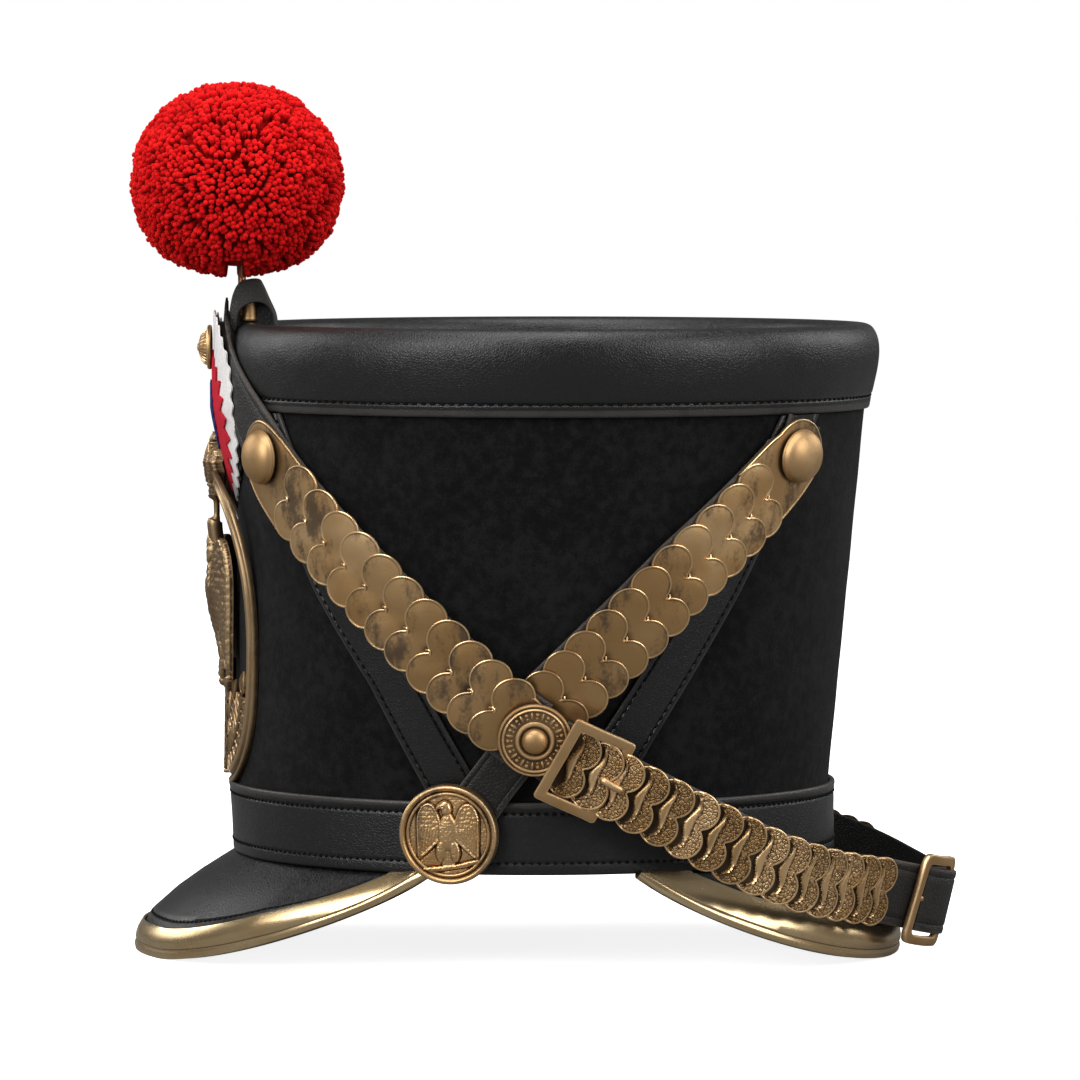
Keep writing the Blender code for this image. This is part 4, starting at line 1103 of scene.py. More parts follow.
def crown_strip(word, side, name, place, rivet_at, lobes, centres, radius, end_rows):
    """The scales of one crown strap: each nearer the boss lies on the one before."""
    shape = Shape()
    random = np.random.default_rng(7)
    lie = raised(place, LEATHER + 0.15)
    local = lambda along, across, lift: lie(along + rivet_at, across, lift)
    end_plate(shape, local, end_rows, 22.0, 1.2)
    places = [((near_edge + radius, centres[0]), (far_edge + radius, centres[1])) for near_edge, far_edge in lobes]
    notches = [lobed_edge(near, far, 0.0, radius, LOBE_FILLET, LOBE_FIRST, 4)[2] for near, far in places]
    for k, ((near_edge, far_edge), (near, far)) in enumerate(zip(lobes, places)):
        start, phase = min(near_edge, far_edge), random.random(4) * 6.0
        over = notches[min(k + 1, len(notches) - 1)]

        def top(s, v):
            swell = 0.0
            for cs, cv in (near, far):
                swell = swell + 0.42 * np.exp(-((s - cs) ** 2 + (v - cv) ** 2) / (0.62 * radius) ** 2)
            tilt = 2.15 - 0.11 * (s - start)
            dent = 0.09 * np.sin(0.62 * s + phase[0]) * np.sin(0.5 * v + phase[1])
            # Painted shade: the face darkens round the spot under the next plate's notch.
            notch_shade = np.exp(-((s - over[0] + 0.6) ** 2 + (v - over[1]) ** 2) / 2.6 ** 2)
            return tilt + swell + dent, 0.5 - 0.34 * notch_shade

        # Painted light: the upper plates get a lit tone, and the lower ones, turned away from the light, a painted
        # shaded one, with a little randomness.
        notch = scale_plate(shape, local, near, far, radius, max(near[0], far[0]) + 8.0, top,
                            tint=0.9 - 0.75 * min(1.0, k / 6.0) + 0.2 * random.random())
        height = float(top(np.array(notch[0]), np.array(notch[1]))[0])
        hook = [(notch[0] - 0.7, notch[1] - 0.2, height - 0.5), (notch[0] + 0.1, notch[1] + 0.45, height + 0.15),
                (notch[0] + 1.0, notch[1] + 0.2, height + 0.3), (notch[0] + 1.5, notch[1] - 0.5, height + 0.1)]
        rod(shape, local, smooth_path(hook, 4), 0.36, relief=0.95, sides=7)
    shape.piece(f"{name}_scale_plates_{word}", "old brass", "old_brass", [f"{name}_scales_{word}"],
                mirror=side < 0, smooth=30.0)


END_ROWS = ((-12.4, 3.0), (-11.0, 6.3), (-8.6, 9.0), (-4.5, 11.0), (1.0, 12.1), (8.0, 12.7))


def build_crown_straps(side, word):
    length, place = crown_route(FRONT_STRAP)
    shape = Shape()
    taper = [(0.0, 7.4), (10.0, 8.6), (22.0, 10.2), (34.0, 11.4), (44.0, 12.5)]
    tongue = tapered(-20.0, [(-20.0, 2.6), (-15.0, 5.2), (-8.0, 7.2)] + taper)
    strap(shape, place, tongue + even(44.0, length, 2.5, 12.5))
    shape.piece(f"front_leather_strap_{word}", "strap leather", "strap_leather", [f"front_strap_{word}"],
                mirror=side < 0)
    crown_strip(word, side, "front", place, FRONT_RIVET_AT, FRONT_LOBES, (7.1, -5.8), 7.1, END_ROWS)

    length, place = crown_route(REAR_STRAP)
    shape = Shape()
    strap(shape, place, even(0.0, 9.0, 2.0, 8.7) + even(16.0, length, 2.5, 12.5))
    shape.piece(f"rear_leather_strap_{word}", "strap leather", "strap_leather", [f"rear_strap_{word}"],
                mirror=side < 0)
    place = crown_route(REAR_SCALES)[1]
    crown_strip(word, side, "rear", place, REAR_RIVET_AT, REAR_LOBES, (7.4, -5.6), 6.9, END_ROWS)


# --- Round fittings -----------------------------------------------------------------------------------------

BOSS = (90.0, 83.0, 10.6)
SIDE_BUTTON = (75.0, 49.7, 5.0)
FRONT_RIVET = (31.4, 176.5, 6.3)
REAR_RIVET = (137.2, 177.7, 6.5)
BUTTON_R = 17.2
BUTTON_RING = 14.1
BUTTON_RIM = 16.1


def build_rivets(side, word):
    for name, spot in (("front", FRONT_RIVET), ("rear", REAR_RIVET)):
        shape = Shape()
        angles = np.linspace(0.0, 1.0, 14)
        profile = [(9.0 * math.sin(a * 1.5), 1.0 + 4.8 * math.cos(a * 1.5)) for a in angles]
        profile += [(9.25, 0.9), (9.4, 0.5), (9.35, 0.0), (8.8, -0.1), (0.0, -0.1)]
        # Marks: brighter towards the dome's top, and painted shade in the groove at its foot.
        relief = [0.75 - 0.25 * a for a in angles] + [0.25, 0.4, 0.1, 0.1, 0.1]
        turned(shape, profile, crown_frame(*spot), relief=relief, steps=56)
        shape.piece(f"{name}_dome_rivet_{word}", "rivet brass", "old_brass", [f"{name}_rivet_{word}"],
                    mirror=side < 0)


def build_boss(side, word):
    """A stepped disc: a domed knob in a ring, a field of beads and rays, and two fine rims."""
    shape = Shape()
    frame_here = crown_frame(*BOSS)
    knob = [(4.3 * math.sin(a), 2.4 + 2.8 * math.cos(a)) for a in np.linspace(0.0, 1.45, 12)]
    marks = [0.6 - 0.1 * k / 11 for k in range(12)]
    profile = knob + [(4.5, 1.9), (4.9, 1.8), (5.4, 2.5), (5.9, 2.65), (6.4, 2.5), (6.8, 2.0), (7.3, 1.85),
                      (9.9, 1.8), (10.2, 1.8), (10.5, 2.2), (10.8, 2.3), (11.1, 2.1), (11.3, 1.7), (11.6, 1.7),
                      (11.9, 2.1), (12.2, 2.1), (12.5, 1.6), (12.5, 0.0), (11.5, -0.1), (0.0, -0.1)]
    # Marks: painted shade in the grooves between the rings, brighter on the ring crests.
    marks += [0.1, 0.1, 0.6, 0.8, 0.6, 0.12, 0.18, 0.18, 0.12, 0.7, 0.8, 0.6, 0.15, 0.15, 0.6, 0.75, 0.5, 0.2, 0.2,
              0.2]
    turned(shape, profile, frame_here, relief=marks, steps=72)
    flat = flat_on(frame_here)
    for k in range(30):
        angle = 2 * math.pi * k / 30
        along, across = math.cos(angle), math.sin(angle)
        if k % 2:
            bead(shape, flat, (9.15 * along, 9.15 * across, 1.75), (0.68, 0.68, 0.6), relief=0.62, steps=7)
            bead(shape, flat, (7.85 * along, 7.85 * across, 1.7), (0.46, 0.46, 0.45), relief=0.62, steps=7)
        else:
            path = [(r * along, r * across, 1.7 + 0.35 * math.sin(math.pi * (r - 7.3) / 2.7))
                    for r in np.linspace(7.5, 9.9, 5)]
            rod(shape, flat, path, (0.22, 0.42, 0.48, 0.42, 0.22), relief=0.62, sides=6)
    shape.piece(f"boss_{word}", "rivet brass", "old_brass", [f"boss_disc_{word}"], mirror=side < 0,
                smooth=30.0)


WING = ((2.2, 4.2), (3.0, 7.2), (4.6, 9.6), (6.8, 10.2), (8.8, 8.6), (9.9, 5.6), (10.0, 1.8), (9.9, -2.4),
        (9.7, -7.0), (8.8, -7.6), (7.9, -6.6), (6.9, -5.9), (6.0, -4.9), (5.0, -4.1), (4.0, -3.0), (3.0, -2.2),
        (2.2, -0.8), (2.0, 1.8))
BODY = ((-1.5, 6.4), (-0.4, 7.6), (0.9, 7.2), (1.9, 5.6), (2.9, 3.4), (3.2, 0.8), (2.8, -1.8), (1.8, -3.6),
        (0.0, -4.6), (-1.8, -3.6), (-2.8, -1.8), (-3.2, 0.8), (-2.9, 3.4), (-2.2, 5.2))
HEAD = ((-3.6, 9.2), (-2.7, 10.2), (-1.2, 11.0), (0.4, 10.6), (1.2, 9.0), (1.1, 7.2), (-0.4, 6.4), (-1.6, 7.0),
        (-2.0, 8.2), (-2.9, 8.3), (-3.4, 7.7))
THIGH = ((0.6, -1.4), (2.6, -1.6), (3.7, -3.4), (3.9, -5.8), (3.0, -7.9), (1.9, -8.2), (1.1, -6.8), (0.5, -4.4))
TAIL = ((-1.2, -3.4), (1.2, -3.4), (1.6, -6.0), (2.2, -9.0), (1.0, -9.8), (0.0, -10.1), (-1.0, -9.8),
        (-2.2, -9.0), (-1.6, -6.0))
BRANCH = ((-9.2, -10.6), (-6.0, -9.9), (-2.0, -9.4), (3.0, -8.7), (7.0, -7.6), (9.6, -7.4), (8.6, -8.7),
          (4.6, -9.9), (0.0, -10.7), (-5.0, -11.4))


def eagle_height(x, z):
    """Height and outline distance of an eagle with raised wings, about 20 mm each way."""
    shapes = {}
    for name, outline in (("wing", WING), ("body", BODY), ("head", HEAD), ("thigh", THIGH), ("tail", TAIL),
                          ("branch", BRANCH)):
        curve = smooth_path(outline, 4, closed=True)
        across = np.abs(x) if name in ("wing", "thigh") else x
        shapes[name] = outline_distance(curve, across, z)
    side = np.abs(x)
    height = np.zeros_like(x)

    def laid(name, form):
        return np.where(shapes[name] < 0.0, np.maximum(height, form), height)

    def swelling(name, low, high, reach, edge, edge_reach, extra):
        depth = -shapes[name]
        return laid(name, low + high * dome(depth, reach) + extra - edge * (1.0 - dome(depth, edge_reach)))

    depth = -shapes["wing"]
    feathers = teeth_wave((side + 0.16 * (z - 6.0)) / 0.95 + 20.0)
    long_ones = 0.75 + 0.3 * (1.0 - feathers ** 2.2)
    short_ones = 0.8 + 0.22 * grains(x, 0.8 * z, 1.0, 5.0)
    share = np.clip((z - 1.6 - 0.25 * (side - 5.0)) / 0.6, 0.0, 1.0)
    wing = (long_ones * (1.0 - share) + short_ones * share) * dome(depth, 0.9)
    height = laid("wing", np.maximum(wing, 1.35 * ridge(depth, 0.45, 0.45) * (z > -6.4)))
    barbs = 0.8 + 0.25 * (1.0 - teeth_wave(x / 0.8 + 20.5) ** 2)
    height = laid("tail", barbs * dome(-shapes["tail"], 0.8))
    scales = grains(x, 0.85 * z, 0.85, 8.0)
    height = swelling("body", 0.7, 1.25, 3.0, 0.4, 0.5, 0.12 * scales)
    height = swelling("thigh", 0.8, 1.1, 1.5, 0.5, 0.4, 0.1 * scales)
    from_eye = np.hypot(x + 1.3, z - 9.4)
    eye = 0.35 * ridge(from_eye, 0.5, 0.3) - 0.3 * (from_eye < 0.28)
    height = swelling("head", 1.0, 1.2, 1.3, 0.5, 0.35, eye + 0.06 * scales)
    leaves = teeth_wave((x + 0.8 * np.abs(z + 9.4)) / 1.5 + 20.0)
    height = laid("branch", 0.7 + 0.75 * dome(-shapes["branch"], 0.8) - 0.2 * leaves ** 3)
    return height, np.minimum.reduce(list(shapes.values()))


def build_side_buttons(side, word):
    """A rimmed button with an eagle on a fine-grained field."""
    shape = Shape()
    frame_here = crown_frame(*SIDE_BUTTON)
    flat = flat_on(frame_here)

    def edge(x, y):
        return np.hypot(x, y) - BUTTON_R

    def face(x, y, away):
        radius = np.hypot(x, y)
        eagle, outside = eagle_height(x * 0.91, y * 0.91 + 0.3)
        field = 2.0 + 0.5 * np.maximum(0.0, 1.0 - (radius / 14.0) ** 2) + 0.12 * grains(x, y, 0.8, 3.0)
        groove = 0.3 * np.exp(-(np.maximum(outside, 0.0) / 0.4) ** 2)
        height = field + np.where(outside < 0.0, 0.82 * eagle, -groove)
        ring = 2.3 + 0.7 * ridge(radius, BUTTON_RING, 0.6)
        height = np.where(np.abs(radius - BUTTON_RING) < 0.6, np.maximum(height, ring), height)
        height = np.where(radius > 14.7, 2.3, height)
        rim = 2.0 + 1.6 * ridge(radius, BUTTON_RIM, 1.1)
        return np.where(radius > 15.0, rim, height)

    relief_plate(shape, edge, face, (-17.6, -17.6), (17.6, 17.6), 0.25, flat, back=0.0, blur=10, gain=0.85)
    shape.piece(f"eagle_button_{word}", "old brass", "old_brass", [f"side_button_{word}"],
                mirror=side < 0, smooth=50.0)
    length, place = crown_route(((86.5, 77.0, 3.0), (78.0, 54.5, 3.0)))
    shape = Shape()
    strap(shape, place, even(0.0, length, 1.5, 8.5), thick=1.3)
    shape.piece(f"button_leather_{word}", "strap leather", "strap_leather", [f"button_tab_{word}"],
                mirror=side < 0)


# --- Chin straps --------------------------------------------------------------------------------------------

LEAF_RIGHT = ((-12.0, -10.4, -9.5, -8.6, -7.5, -4.5, -1.0, 2.0, 6.0, 8.0, 9.4, 10.2, 12.0),
              (-12.0, -9.2, -7.6, -6.6, -6.1, -5.8, -6.4, -6.7, -6.6, -7.1, -8.0, -9.4, -12.0))
LEAF_LEFT = ((-9.5, -8.2, -7.0, -6.0, -4.0, -2.0, 0.0, 2.0, 5.0, 7.0, 8.4, 9.4),
             (-8.2, -7.1, -6.8, -6.9, -7.6, -8.8, -9.4, -9.0, -8.1, -7.8, -7.9, -8.6))


def chin_face(edge_at, radius):
    """The height and relief of a chin scale: a grained field, and a smooth S-shaped leaf beside a hollow with a
    painted shadow from the plate above.
    """

    def top(s, v):
        x = s - edge_at
        right, left = np.interp(v, *LEAF_RIGHT), np.interp(v, *LEAF_LEFT)
        tilt = 2.3 + 0.12 * x
        hollow, field = 1.0 - ease(left - 0.45, left + 0.15, x), ease(right - 0.1, right + 0.4, x)
        leaf = np.clip(1.0 - hollow - field, 0.0, 1.0)
        across = np.clip((x - left) / np.maximum(right - left, 0.5), 0.0, 1.0)
        belly = np.sin(math.pi * across) ** 0.7
        line = np.exp(-((right - 0.25 - x) / 0.35) ** 2)
        groove = np.exp(-((x - right - 0.4) / 0.28) ** 2)
        far = np.minimum(np.hypot(x + radius, v - 5.5), np.hypot(x + radius + 0.25, v + 5.9))
        rim = ease(radius - 1.45, radius - 1.1, far)
        pebbles = grains(s, v, 1.05, edge_at)
        grained = field * (0.24 * pebbles * (1.0 - rim) + 0.2 * rim - 0.05)
        height = tilt + grained + leaf * (0.35 + 0.3 * belly + 0.3 * line) - 0.8 * hollow - 0.22 * groove
        # Relief: brighter on the rim and the leaf's edge line, painted shadow in the hollow and painted shade in the
        # groove.
        relief = (0.44 + 0.28 * rim) * field + leaf * (0.64 + 0.06 * belly + 0.3 * line)
        relief = relief - 0.15 * hollow - 0.3 * groove
        return height, relief

    return top


def build_chin_scales(side, word, place):
    shape = Shape()
    radius = 6.7
    lie = raised(place, LEATHER - 0.6 + 0.1)
    random = np.random.default_rng(11)
    for edge_at in CHIN_LOBES:
        near, far = (-(edge_at - radius), 5.5), (-(edge_at - radius - 0.25), -5.9)
        scale_plate(shape, lie, near, far, radius, -(edge_at - 12.5), chin_face(edge_at, radius), facing=-1.0,
                    first=12.0, count=34, inner=22, tint=random.random())
    shape.piece(f"chin_scale_plates_{word}", "chin brass", "old_brass", [f"chin_scales_{word}"],
                mirror=side < 0, smooth=45.0)


def frame_bars(shape, place, middle, half_along, half_across, bar, thick, lifts, corner=2.2):
    """A buckle's four-bar frame with eased edges, its two cross bars at their own lifts."""
    outer = np.array(((-1, -1), (1, -1), (1, 1), (-1, 1))) * (half_along, half_across)
    section = rounded([(0.0, 0.0), (1.0, 0.0), (1.0, 1.0), (0.0, 1.0)], 0.28, 3)
    path = rounded(outer, corner, 7)
    tight = rounded(outer * ((half_along - bar) / half_along, (half_across - bar) / half_across),
                    max(corner - 1.2, 0.6), 7)
    fill = [np.linspace(0.0, 1.0, 7)[:-1]] * len(path)
    rings = []
    for k in range(len(path)):
        after = (k + 1) % len(path)
        for t in fill[k] if np.linalg.norm(path[after] - path[k]) > 2.0 else (0.0,):
            out, inn = path[k] * (1 - t) + path[after] * t, tight[k] * (1 - t) + tight[after] * t
            spot = out[None] * (1.0 - section[:, :1]) + inn[None] * section[:, :1]
            rise = np.interp(spot[:, 0], (-half_along, bar - half_along, half_along - bar, half_along), lifts)
            rings.append(place(middle + spot[:, 0], spot[:, 1], rise + thick * section[:, 1]))
    marks = 0.5 + 0.5 * np.exp(-((section[:, 0] * 2 - 1) ** 2 - 1.0) ** 2 * 6.0) * (section[:, 1] > 0.7)
    shape.loft(rings, np.tile(marks, len(rings)), loop=True)


def build_side_buckle(side, word, place):
    shape = Shape()
    frame_bars(shape, place, 20.3, 11.7, 15.7, 3.7, 1.7, (6.0, 5.2, 0.4, 0.2), corner=1.6)
    prong = smooth_path([(26.4, 0.2, 3.1), (28.0, 0.1, 4.0), (31.0, 0.0, 4.4), (33.6, 0.0, 4.1), (34.8, 0.0, 3.3)], 4)
    thin = np.interp(prong[:, 0], (26.4, 27.4, 33.6, 34.8), (0.8, 1.35, 1.35, 0.8))
    rod(shape, place, prong, thin, relief=0.75, sides=14)
    shape.piece(f"side_buckle_frame_{word}", "rivet brass", "old_brass", [f"side_buckle_{word}"],
                mirror=side < 0, smooth=30.0)


def build_chin(side, word):
    length, place = chin_route(CHIN_LEFT if side > 0 else CHIN_RIGHT)
    shape = Shape()
    strap(shape, raised(place, -0.6), even(7.5, length, 2.2, CHIN_HALF))
    if side > 0:
        hole = [(s, 0.0, 1.05) for s in (169.5, 171.0, 172.5)]
        # A leather rod marked low: painted shade in the strap's hole.
        rod(shape, place, hole, (0.5, 1.0, 0.5), relief=-0.4)
    shape.piece(f"chin_leather_{word}", "strap leather", "strap_leather", [f"chin_strap_{word}"],
                mirror=side < 0)
    build_chin_scales(side, word, place)
    build_side_buckle(side, word, place)
    if side > 0:
        build_rear_buckle(place)


def build_rear_buckle(place):
    """The buckle at the back, a small stud in it, and the strap's end folded over its far bar."""
    shape = Shape()
    frame_bars(shape, place, 177.4, 12.9, 16.2, 3.4, 2.4, (1.6, 1.6, 1.6, 1.6), corner=4.0)
    bead(shape, place, (171.6, 0.0, 1.6), (1.1, 1.1, 0.9), relief=0.4, steps=12)
    shape.piece("rear_buckle_frame", "rivet brass", "old_brass", ["rear_buckle"], smooth=30.0)
    fold = smooth_path([(171.5, 1.35), (176.0, 1.6), (181.0, 3.3), (185.0, 4.3), (189.0, 4.5), (191.0, 3.6),
                        (191.6, 2.2), (190.8, 0.8), (188.5, -0.6), (183.0, -1.2)], 5)
    heading = np.gradient(fold, axis=0)
    heading /= np.linalg.norm(heading, axis=1, keepdims=True)
    out = np.stack([-heading[:, 1], heading[:, 0]], -1)
    rings = []
    for spot, away in zip(fold, out):
        v, w = strap_section(CHIN_HALF, 1.4, bulge=0.0)
        rings.append(place(spot[0] + away[0] * (w - 0.7), v, spot[1] + away[1] * (w - 0.7)))
    shape = Shape()
    shape.loft(rings, np.tile(STRAP_RELIEF, len(rings)), caps=True)
    shape.piece("rear_strap_fold", "strap leather", "strap_leather")


# --- Plate --------------------------------------------------------------------------------------------------

EAGLE_ROWS = np.array((
    (91.5, 4.0, 3.0, -108.6, -107.6), (97.0, 7.0, 6.0, -111.5, -106.6), (103.0, 12.0, 5.0, -110.8, -105.6),
    (112.0, 17.5, 6.5, -112.6, -105.6), (120.0, 20.5, 8.5, -114.6, -105.6), (128.0, 21.5, 9.5, -115.8, -105.8),
    (136.0, 20.5, 9.0, -115.2, -106.0), (143.0, 17.0, 7.5, -114.8, -106.6), (148.0, 10.0, 6.0, -114.8, -108.2),
    (151.6, 4.5, 4.5, -114.9, -109.9), (152.6, 2.0, 1.8, -112.9, -110.6), (159.0, 2.0, 1.8, -112.9, -110.6),
    (161.0, 5.0, 4.5, -114.3, -113.0), (166.5, 8.0, 6.5, -115.3, -113.4), (172.5, 8.5, 6.5, -116.2, -113.8),
    (178.0, 5.0, 4.0, -114.8, -113.6), (181.5, 2.5, 2.0, -113.2, -112.2), (184.0, 2.0, 2.0, -112.8, -112.0),
))


def plate_lift(z):
    rise = np.maximum(0.0, (z - PLATE_MID) / PLATE_UP)
    return 0.3 + 7.3 * rise ** 2


def plate_oval(angle, inset):
    """A place (x, z) on the plate's oval, inset mm inside its edge; the angle runs from the top."""
    sine, cosine = np.sin(angle), np.cos(angle)
    blunt = np.where(cosine > 0.0, PLATE_BLUNT_UP, PLATE_BLUNT_DOWN)
    reach = np.where(cosine > 0.0, PLATE_UP, PLATE_DOWN)
    x = np.sign(sine) * np.abs(sine) ** (2.0 / blunt) * (PLATE_HALF - inset)
    return x, PLATE_MID + np.sign(cosine) * np.abs(cosine) ** (2.0 / blunt) * (reach - inset)


def on_plate(x, z, lift):
    """A place on the plate's own bent surface, lift mm above the frame's back."""
    return on_crown(np.degrees(np.asarray(x) / PLATE_BEND), z, plate_lift(z) + np.asarray(lift))


def build_plate_frame():
    """The open oval: an outer bead, a hollow, and a broad inner bead."""
    section = smooth_path([(0.0, 0.0), (0.0, 1.2), (0.35, 1.9), (1.0, 2.1), (1.6, 1.9), (2.0, 1.2), (2.8, 1.0),
                           (3.5, 1.4), (4.1, 2.2), (5.0, 2.5), (6.0, 2.1), (6.7, 1.4), (7.1, 0.8), (7.2, 0.0)], 2)
    # Marks by height: painted shade in the low hollow and at the edges, brighter on the bead tops.
    marks = np.interp(section[:, 1], (0.0, 1.1, 1.5, 2.1, 2.5), (0.2, 0.2, 0.5, 0.8, 0.85))
    angles = circle(240)
    x, z = plate_oval(angles[:, None], section[None, :, 0])
    shape = Shape()
    shape.loft(on_plate(x, z, section[None, :, 1]), np.tile(marks, len(angles)), loop=True)
    shape.piece("plate_oval", "plate brass", "old_brass", ["plate_frame"], smooth=30.0)


def leaf(shape, place, root, tip, wide, rise, tint):
    """A pointed leaf with a raised rim, a midrib and a soft belly, from root to tip in (x, z) on the plate."""
    root, tip = np.array(root, float), np.array(tip, float)
    axis = tip - root
    long = np.linalg.norm(axis)
    axis /= long
    side = np.array((-axis[1], axis[0]))
    t = np.linspace(0.0, 1.0, 13)
    half = wide * np.sin(math.pi * t ** 0.8) ** 0.8 + 0.05
    across = np.array((-1.0, -0.97, -0.84, -0.62, -0.3, -0.1, 0.0, 0.1, 0.3, 0.62, 0.84, 0.97, 1.0))
    lift = np.array((0.0, 0.55, 0.75, 0.42, 0.55, 0.6, 0.85, 0.6, 0.55, 0.42, 0.75, 0.55, 0.0))
    # Marks: painted shade in the dips between rim and belly and at the edges, brighter on rim and midrib.
    marks = np.array((0.1, 0.7, 0.8, 0.1, 0.45, 0.45, 0.75, 0.45, 0.45, 0.1, 0.8, 0.7, 0.1))
    centre = root + axis * (t * long)[:, None]
    spot = centre[:, None] + side * (half[:, None] * across)[..., None]
    arch = rise + 0.9 * np.sin(math.pi * np.clip(t, 0.0, 0.95)) ** 0.7
    height = arch[:, None] * (0.45 + 0.55 * lift[None]) + 0.25 * t[:, None]
    rings = place(spot[..., 0], spot[..., 1], np.maximum(height, 0.05))
    back = place(spot[:, [-1, 0], 0], spot[:, [-1, 0], 1], np.zeros((len(t), 2)))
    marks = np.tile(np.concatenate([marks, (0.1, 0.1)]), len(t))
    shape.loft(np.concatenate([rings, back], axis=1), marks, tint, caps=True)


# Outer and inner laurel arm: inset from the oval, steps, reach in degrees, base lift, leaf length and half width
WREATH_ARMS = ((10.5, 8, 76.0, 2.0, 8.8, 3.1), (22.0, 5, 60.0, 1.9, 7.8, 2.7))


def build_wreath():
    """Two laurel arms and a middle sprig that fill the foot of the oval, tied at the bottom."""
    shape = Shape()
    random = np.random.default_rng(5)

    def sprig(spine, base, length, wide):
        rod(shape, on_plate, smooth_path(np.column_stack([spine, np.full(len(spine), base)]), 3), 0.8, relief=0.6)
        for k, (here, after) in enumerate(zip(spine, spine[1:])):
            ahead = (after - here) / np.linalg.norm(after - here)
            outward = np.array((-ahead[1], ahead[0]))
            size = length * (1.0 - 0.2 * k / len(spine))
            for way in (1.0, -1.0):
                tip = here + (0.6 * ahead + 0.8 * way * outward) * size
                leaf(shape, on_plate, here, tip, wide, base, random.random())
        leaf(shape, on_plate, spine[-1], spine[-1] + ahead * length, 0.85 * wide, base, 0.5)

    for hand in (-1.0, 1.0):
        for inset, steps, reach, base, length, wide in WREATH_ARMS:
            angle = math.pi - hand * np.radians(np.linspace(9.0, reach, steps + 1))
            sprig(np.stack(plate_oval(angle, inset), -1), base, length, wide)
    sprig(np.column_stack([np.zeros(5), np.linspace(64.0, 89.0, 5)]), 3.0, 7.4, 2.3)
    for k in range(4):
        level = 62.6 + 1.4 * k
        tie = smooth_path([(-3.4, level + 0.4, 0.9), (0.0, level, 3.2), (3.4, level + 0.4, 0.9)], 4)
        rod(shape, on_plate, tie, 0.75, relief=0.8)
    shape.piece("plate_laurel", "plate brass", "old_brass", ["plate_wreath"], smooth=40.0)


ORNAMENT_LOW, ORNAMENT_TOP = 160.5, 179.6
ARCH_LOW = 165.2


def crown_ornament(x, z):
    """Height and outline of a closed crown: a beaded band, five arches of leaves, and a small orb."""
    half = np.interp(z, (ORNAMENT_LOW, 162.5, 164.5, 169.0, 173.0, 176.5, 178.5, ORNAMENT_TOP),
                     (5.0, 5.6, 6.6, 8.4, 8.3, 6.2, 3.4, 1.2))
    body = np.maximum(np.abs(x) - half, np.maximum(ORNAMENT_LOW - z, z - ORNAMENT_TOP))
    orb = np.hypot(x, z - 181.0) - 2.1
    away = np.minimum(body, orb)
    share = np.clip(np.abs(x) / np.maximum(half, 1.0), 0.0, 1.0)
    round_it = np.sqrt(1.0 - 0.92 * share ** 2)
    arches = teeth_wave(np.arcsin(np.clip(x / np.maximum(half, 1.0), -1.0, 1.0)) / 0.62 + 20.5)
    height = 0.7 + 0.6 * round_it + 0.55 * (1.0 - np.clip(arches / 0.5, 0.0, 1.0) ** 2) * (z > ARCH_LOW)
    height += 0.35 * ridge(np.hypot(np.modf(x / 1.5 + 20.0)[0] - 0.5, (z - 161.9) / 1.5), 0.0, 0.48) * (z < 163.6)
    height += 0.45 * ridge(z, 164.3, 0.55) + 0.4 * ridge(z, 160.9, 0.4)
    beads = np.modf(z / 1.3 + 20.0)[0] - 0.5
    height += 0.14 * (arches < 0.35) * ridge(beads, 0.0, 0.45) * (z > ARCH_LOW)
    height += 0.2 * grains(x, z, 1.2, 2.0)
    height = np.where(orb < 0.0, np.maximum(height * (body < 0.0), 0.4 + 1.8 * dome(-orb, 2.1)), height)
    return height, away


def arched(rows, deep_at_side, power, half=None):
    """Places (x, z, height in mm) on a front that is bowed back towards its sides."""

    def place(x, z, height):
        x, z, height = np.broadcast_arrays(np.asarray(x, float), z, height)
        front = np.interp(z, rows[:, 0], rows[:, 3])
        reach = half or np.interp(z, rows[:, 0], rows[:, 1]) + 0.6
        bow = deep_at_side(z) * np.minimum(np.abs(x) / reach, 1.15) ** power
        return np.stack([x, front + 1.5 + bow - height, z], -1)

    return place


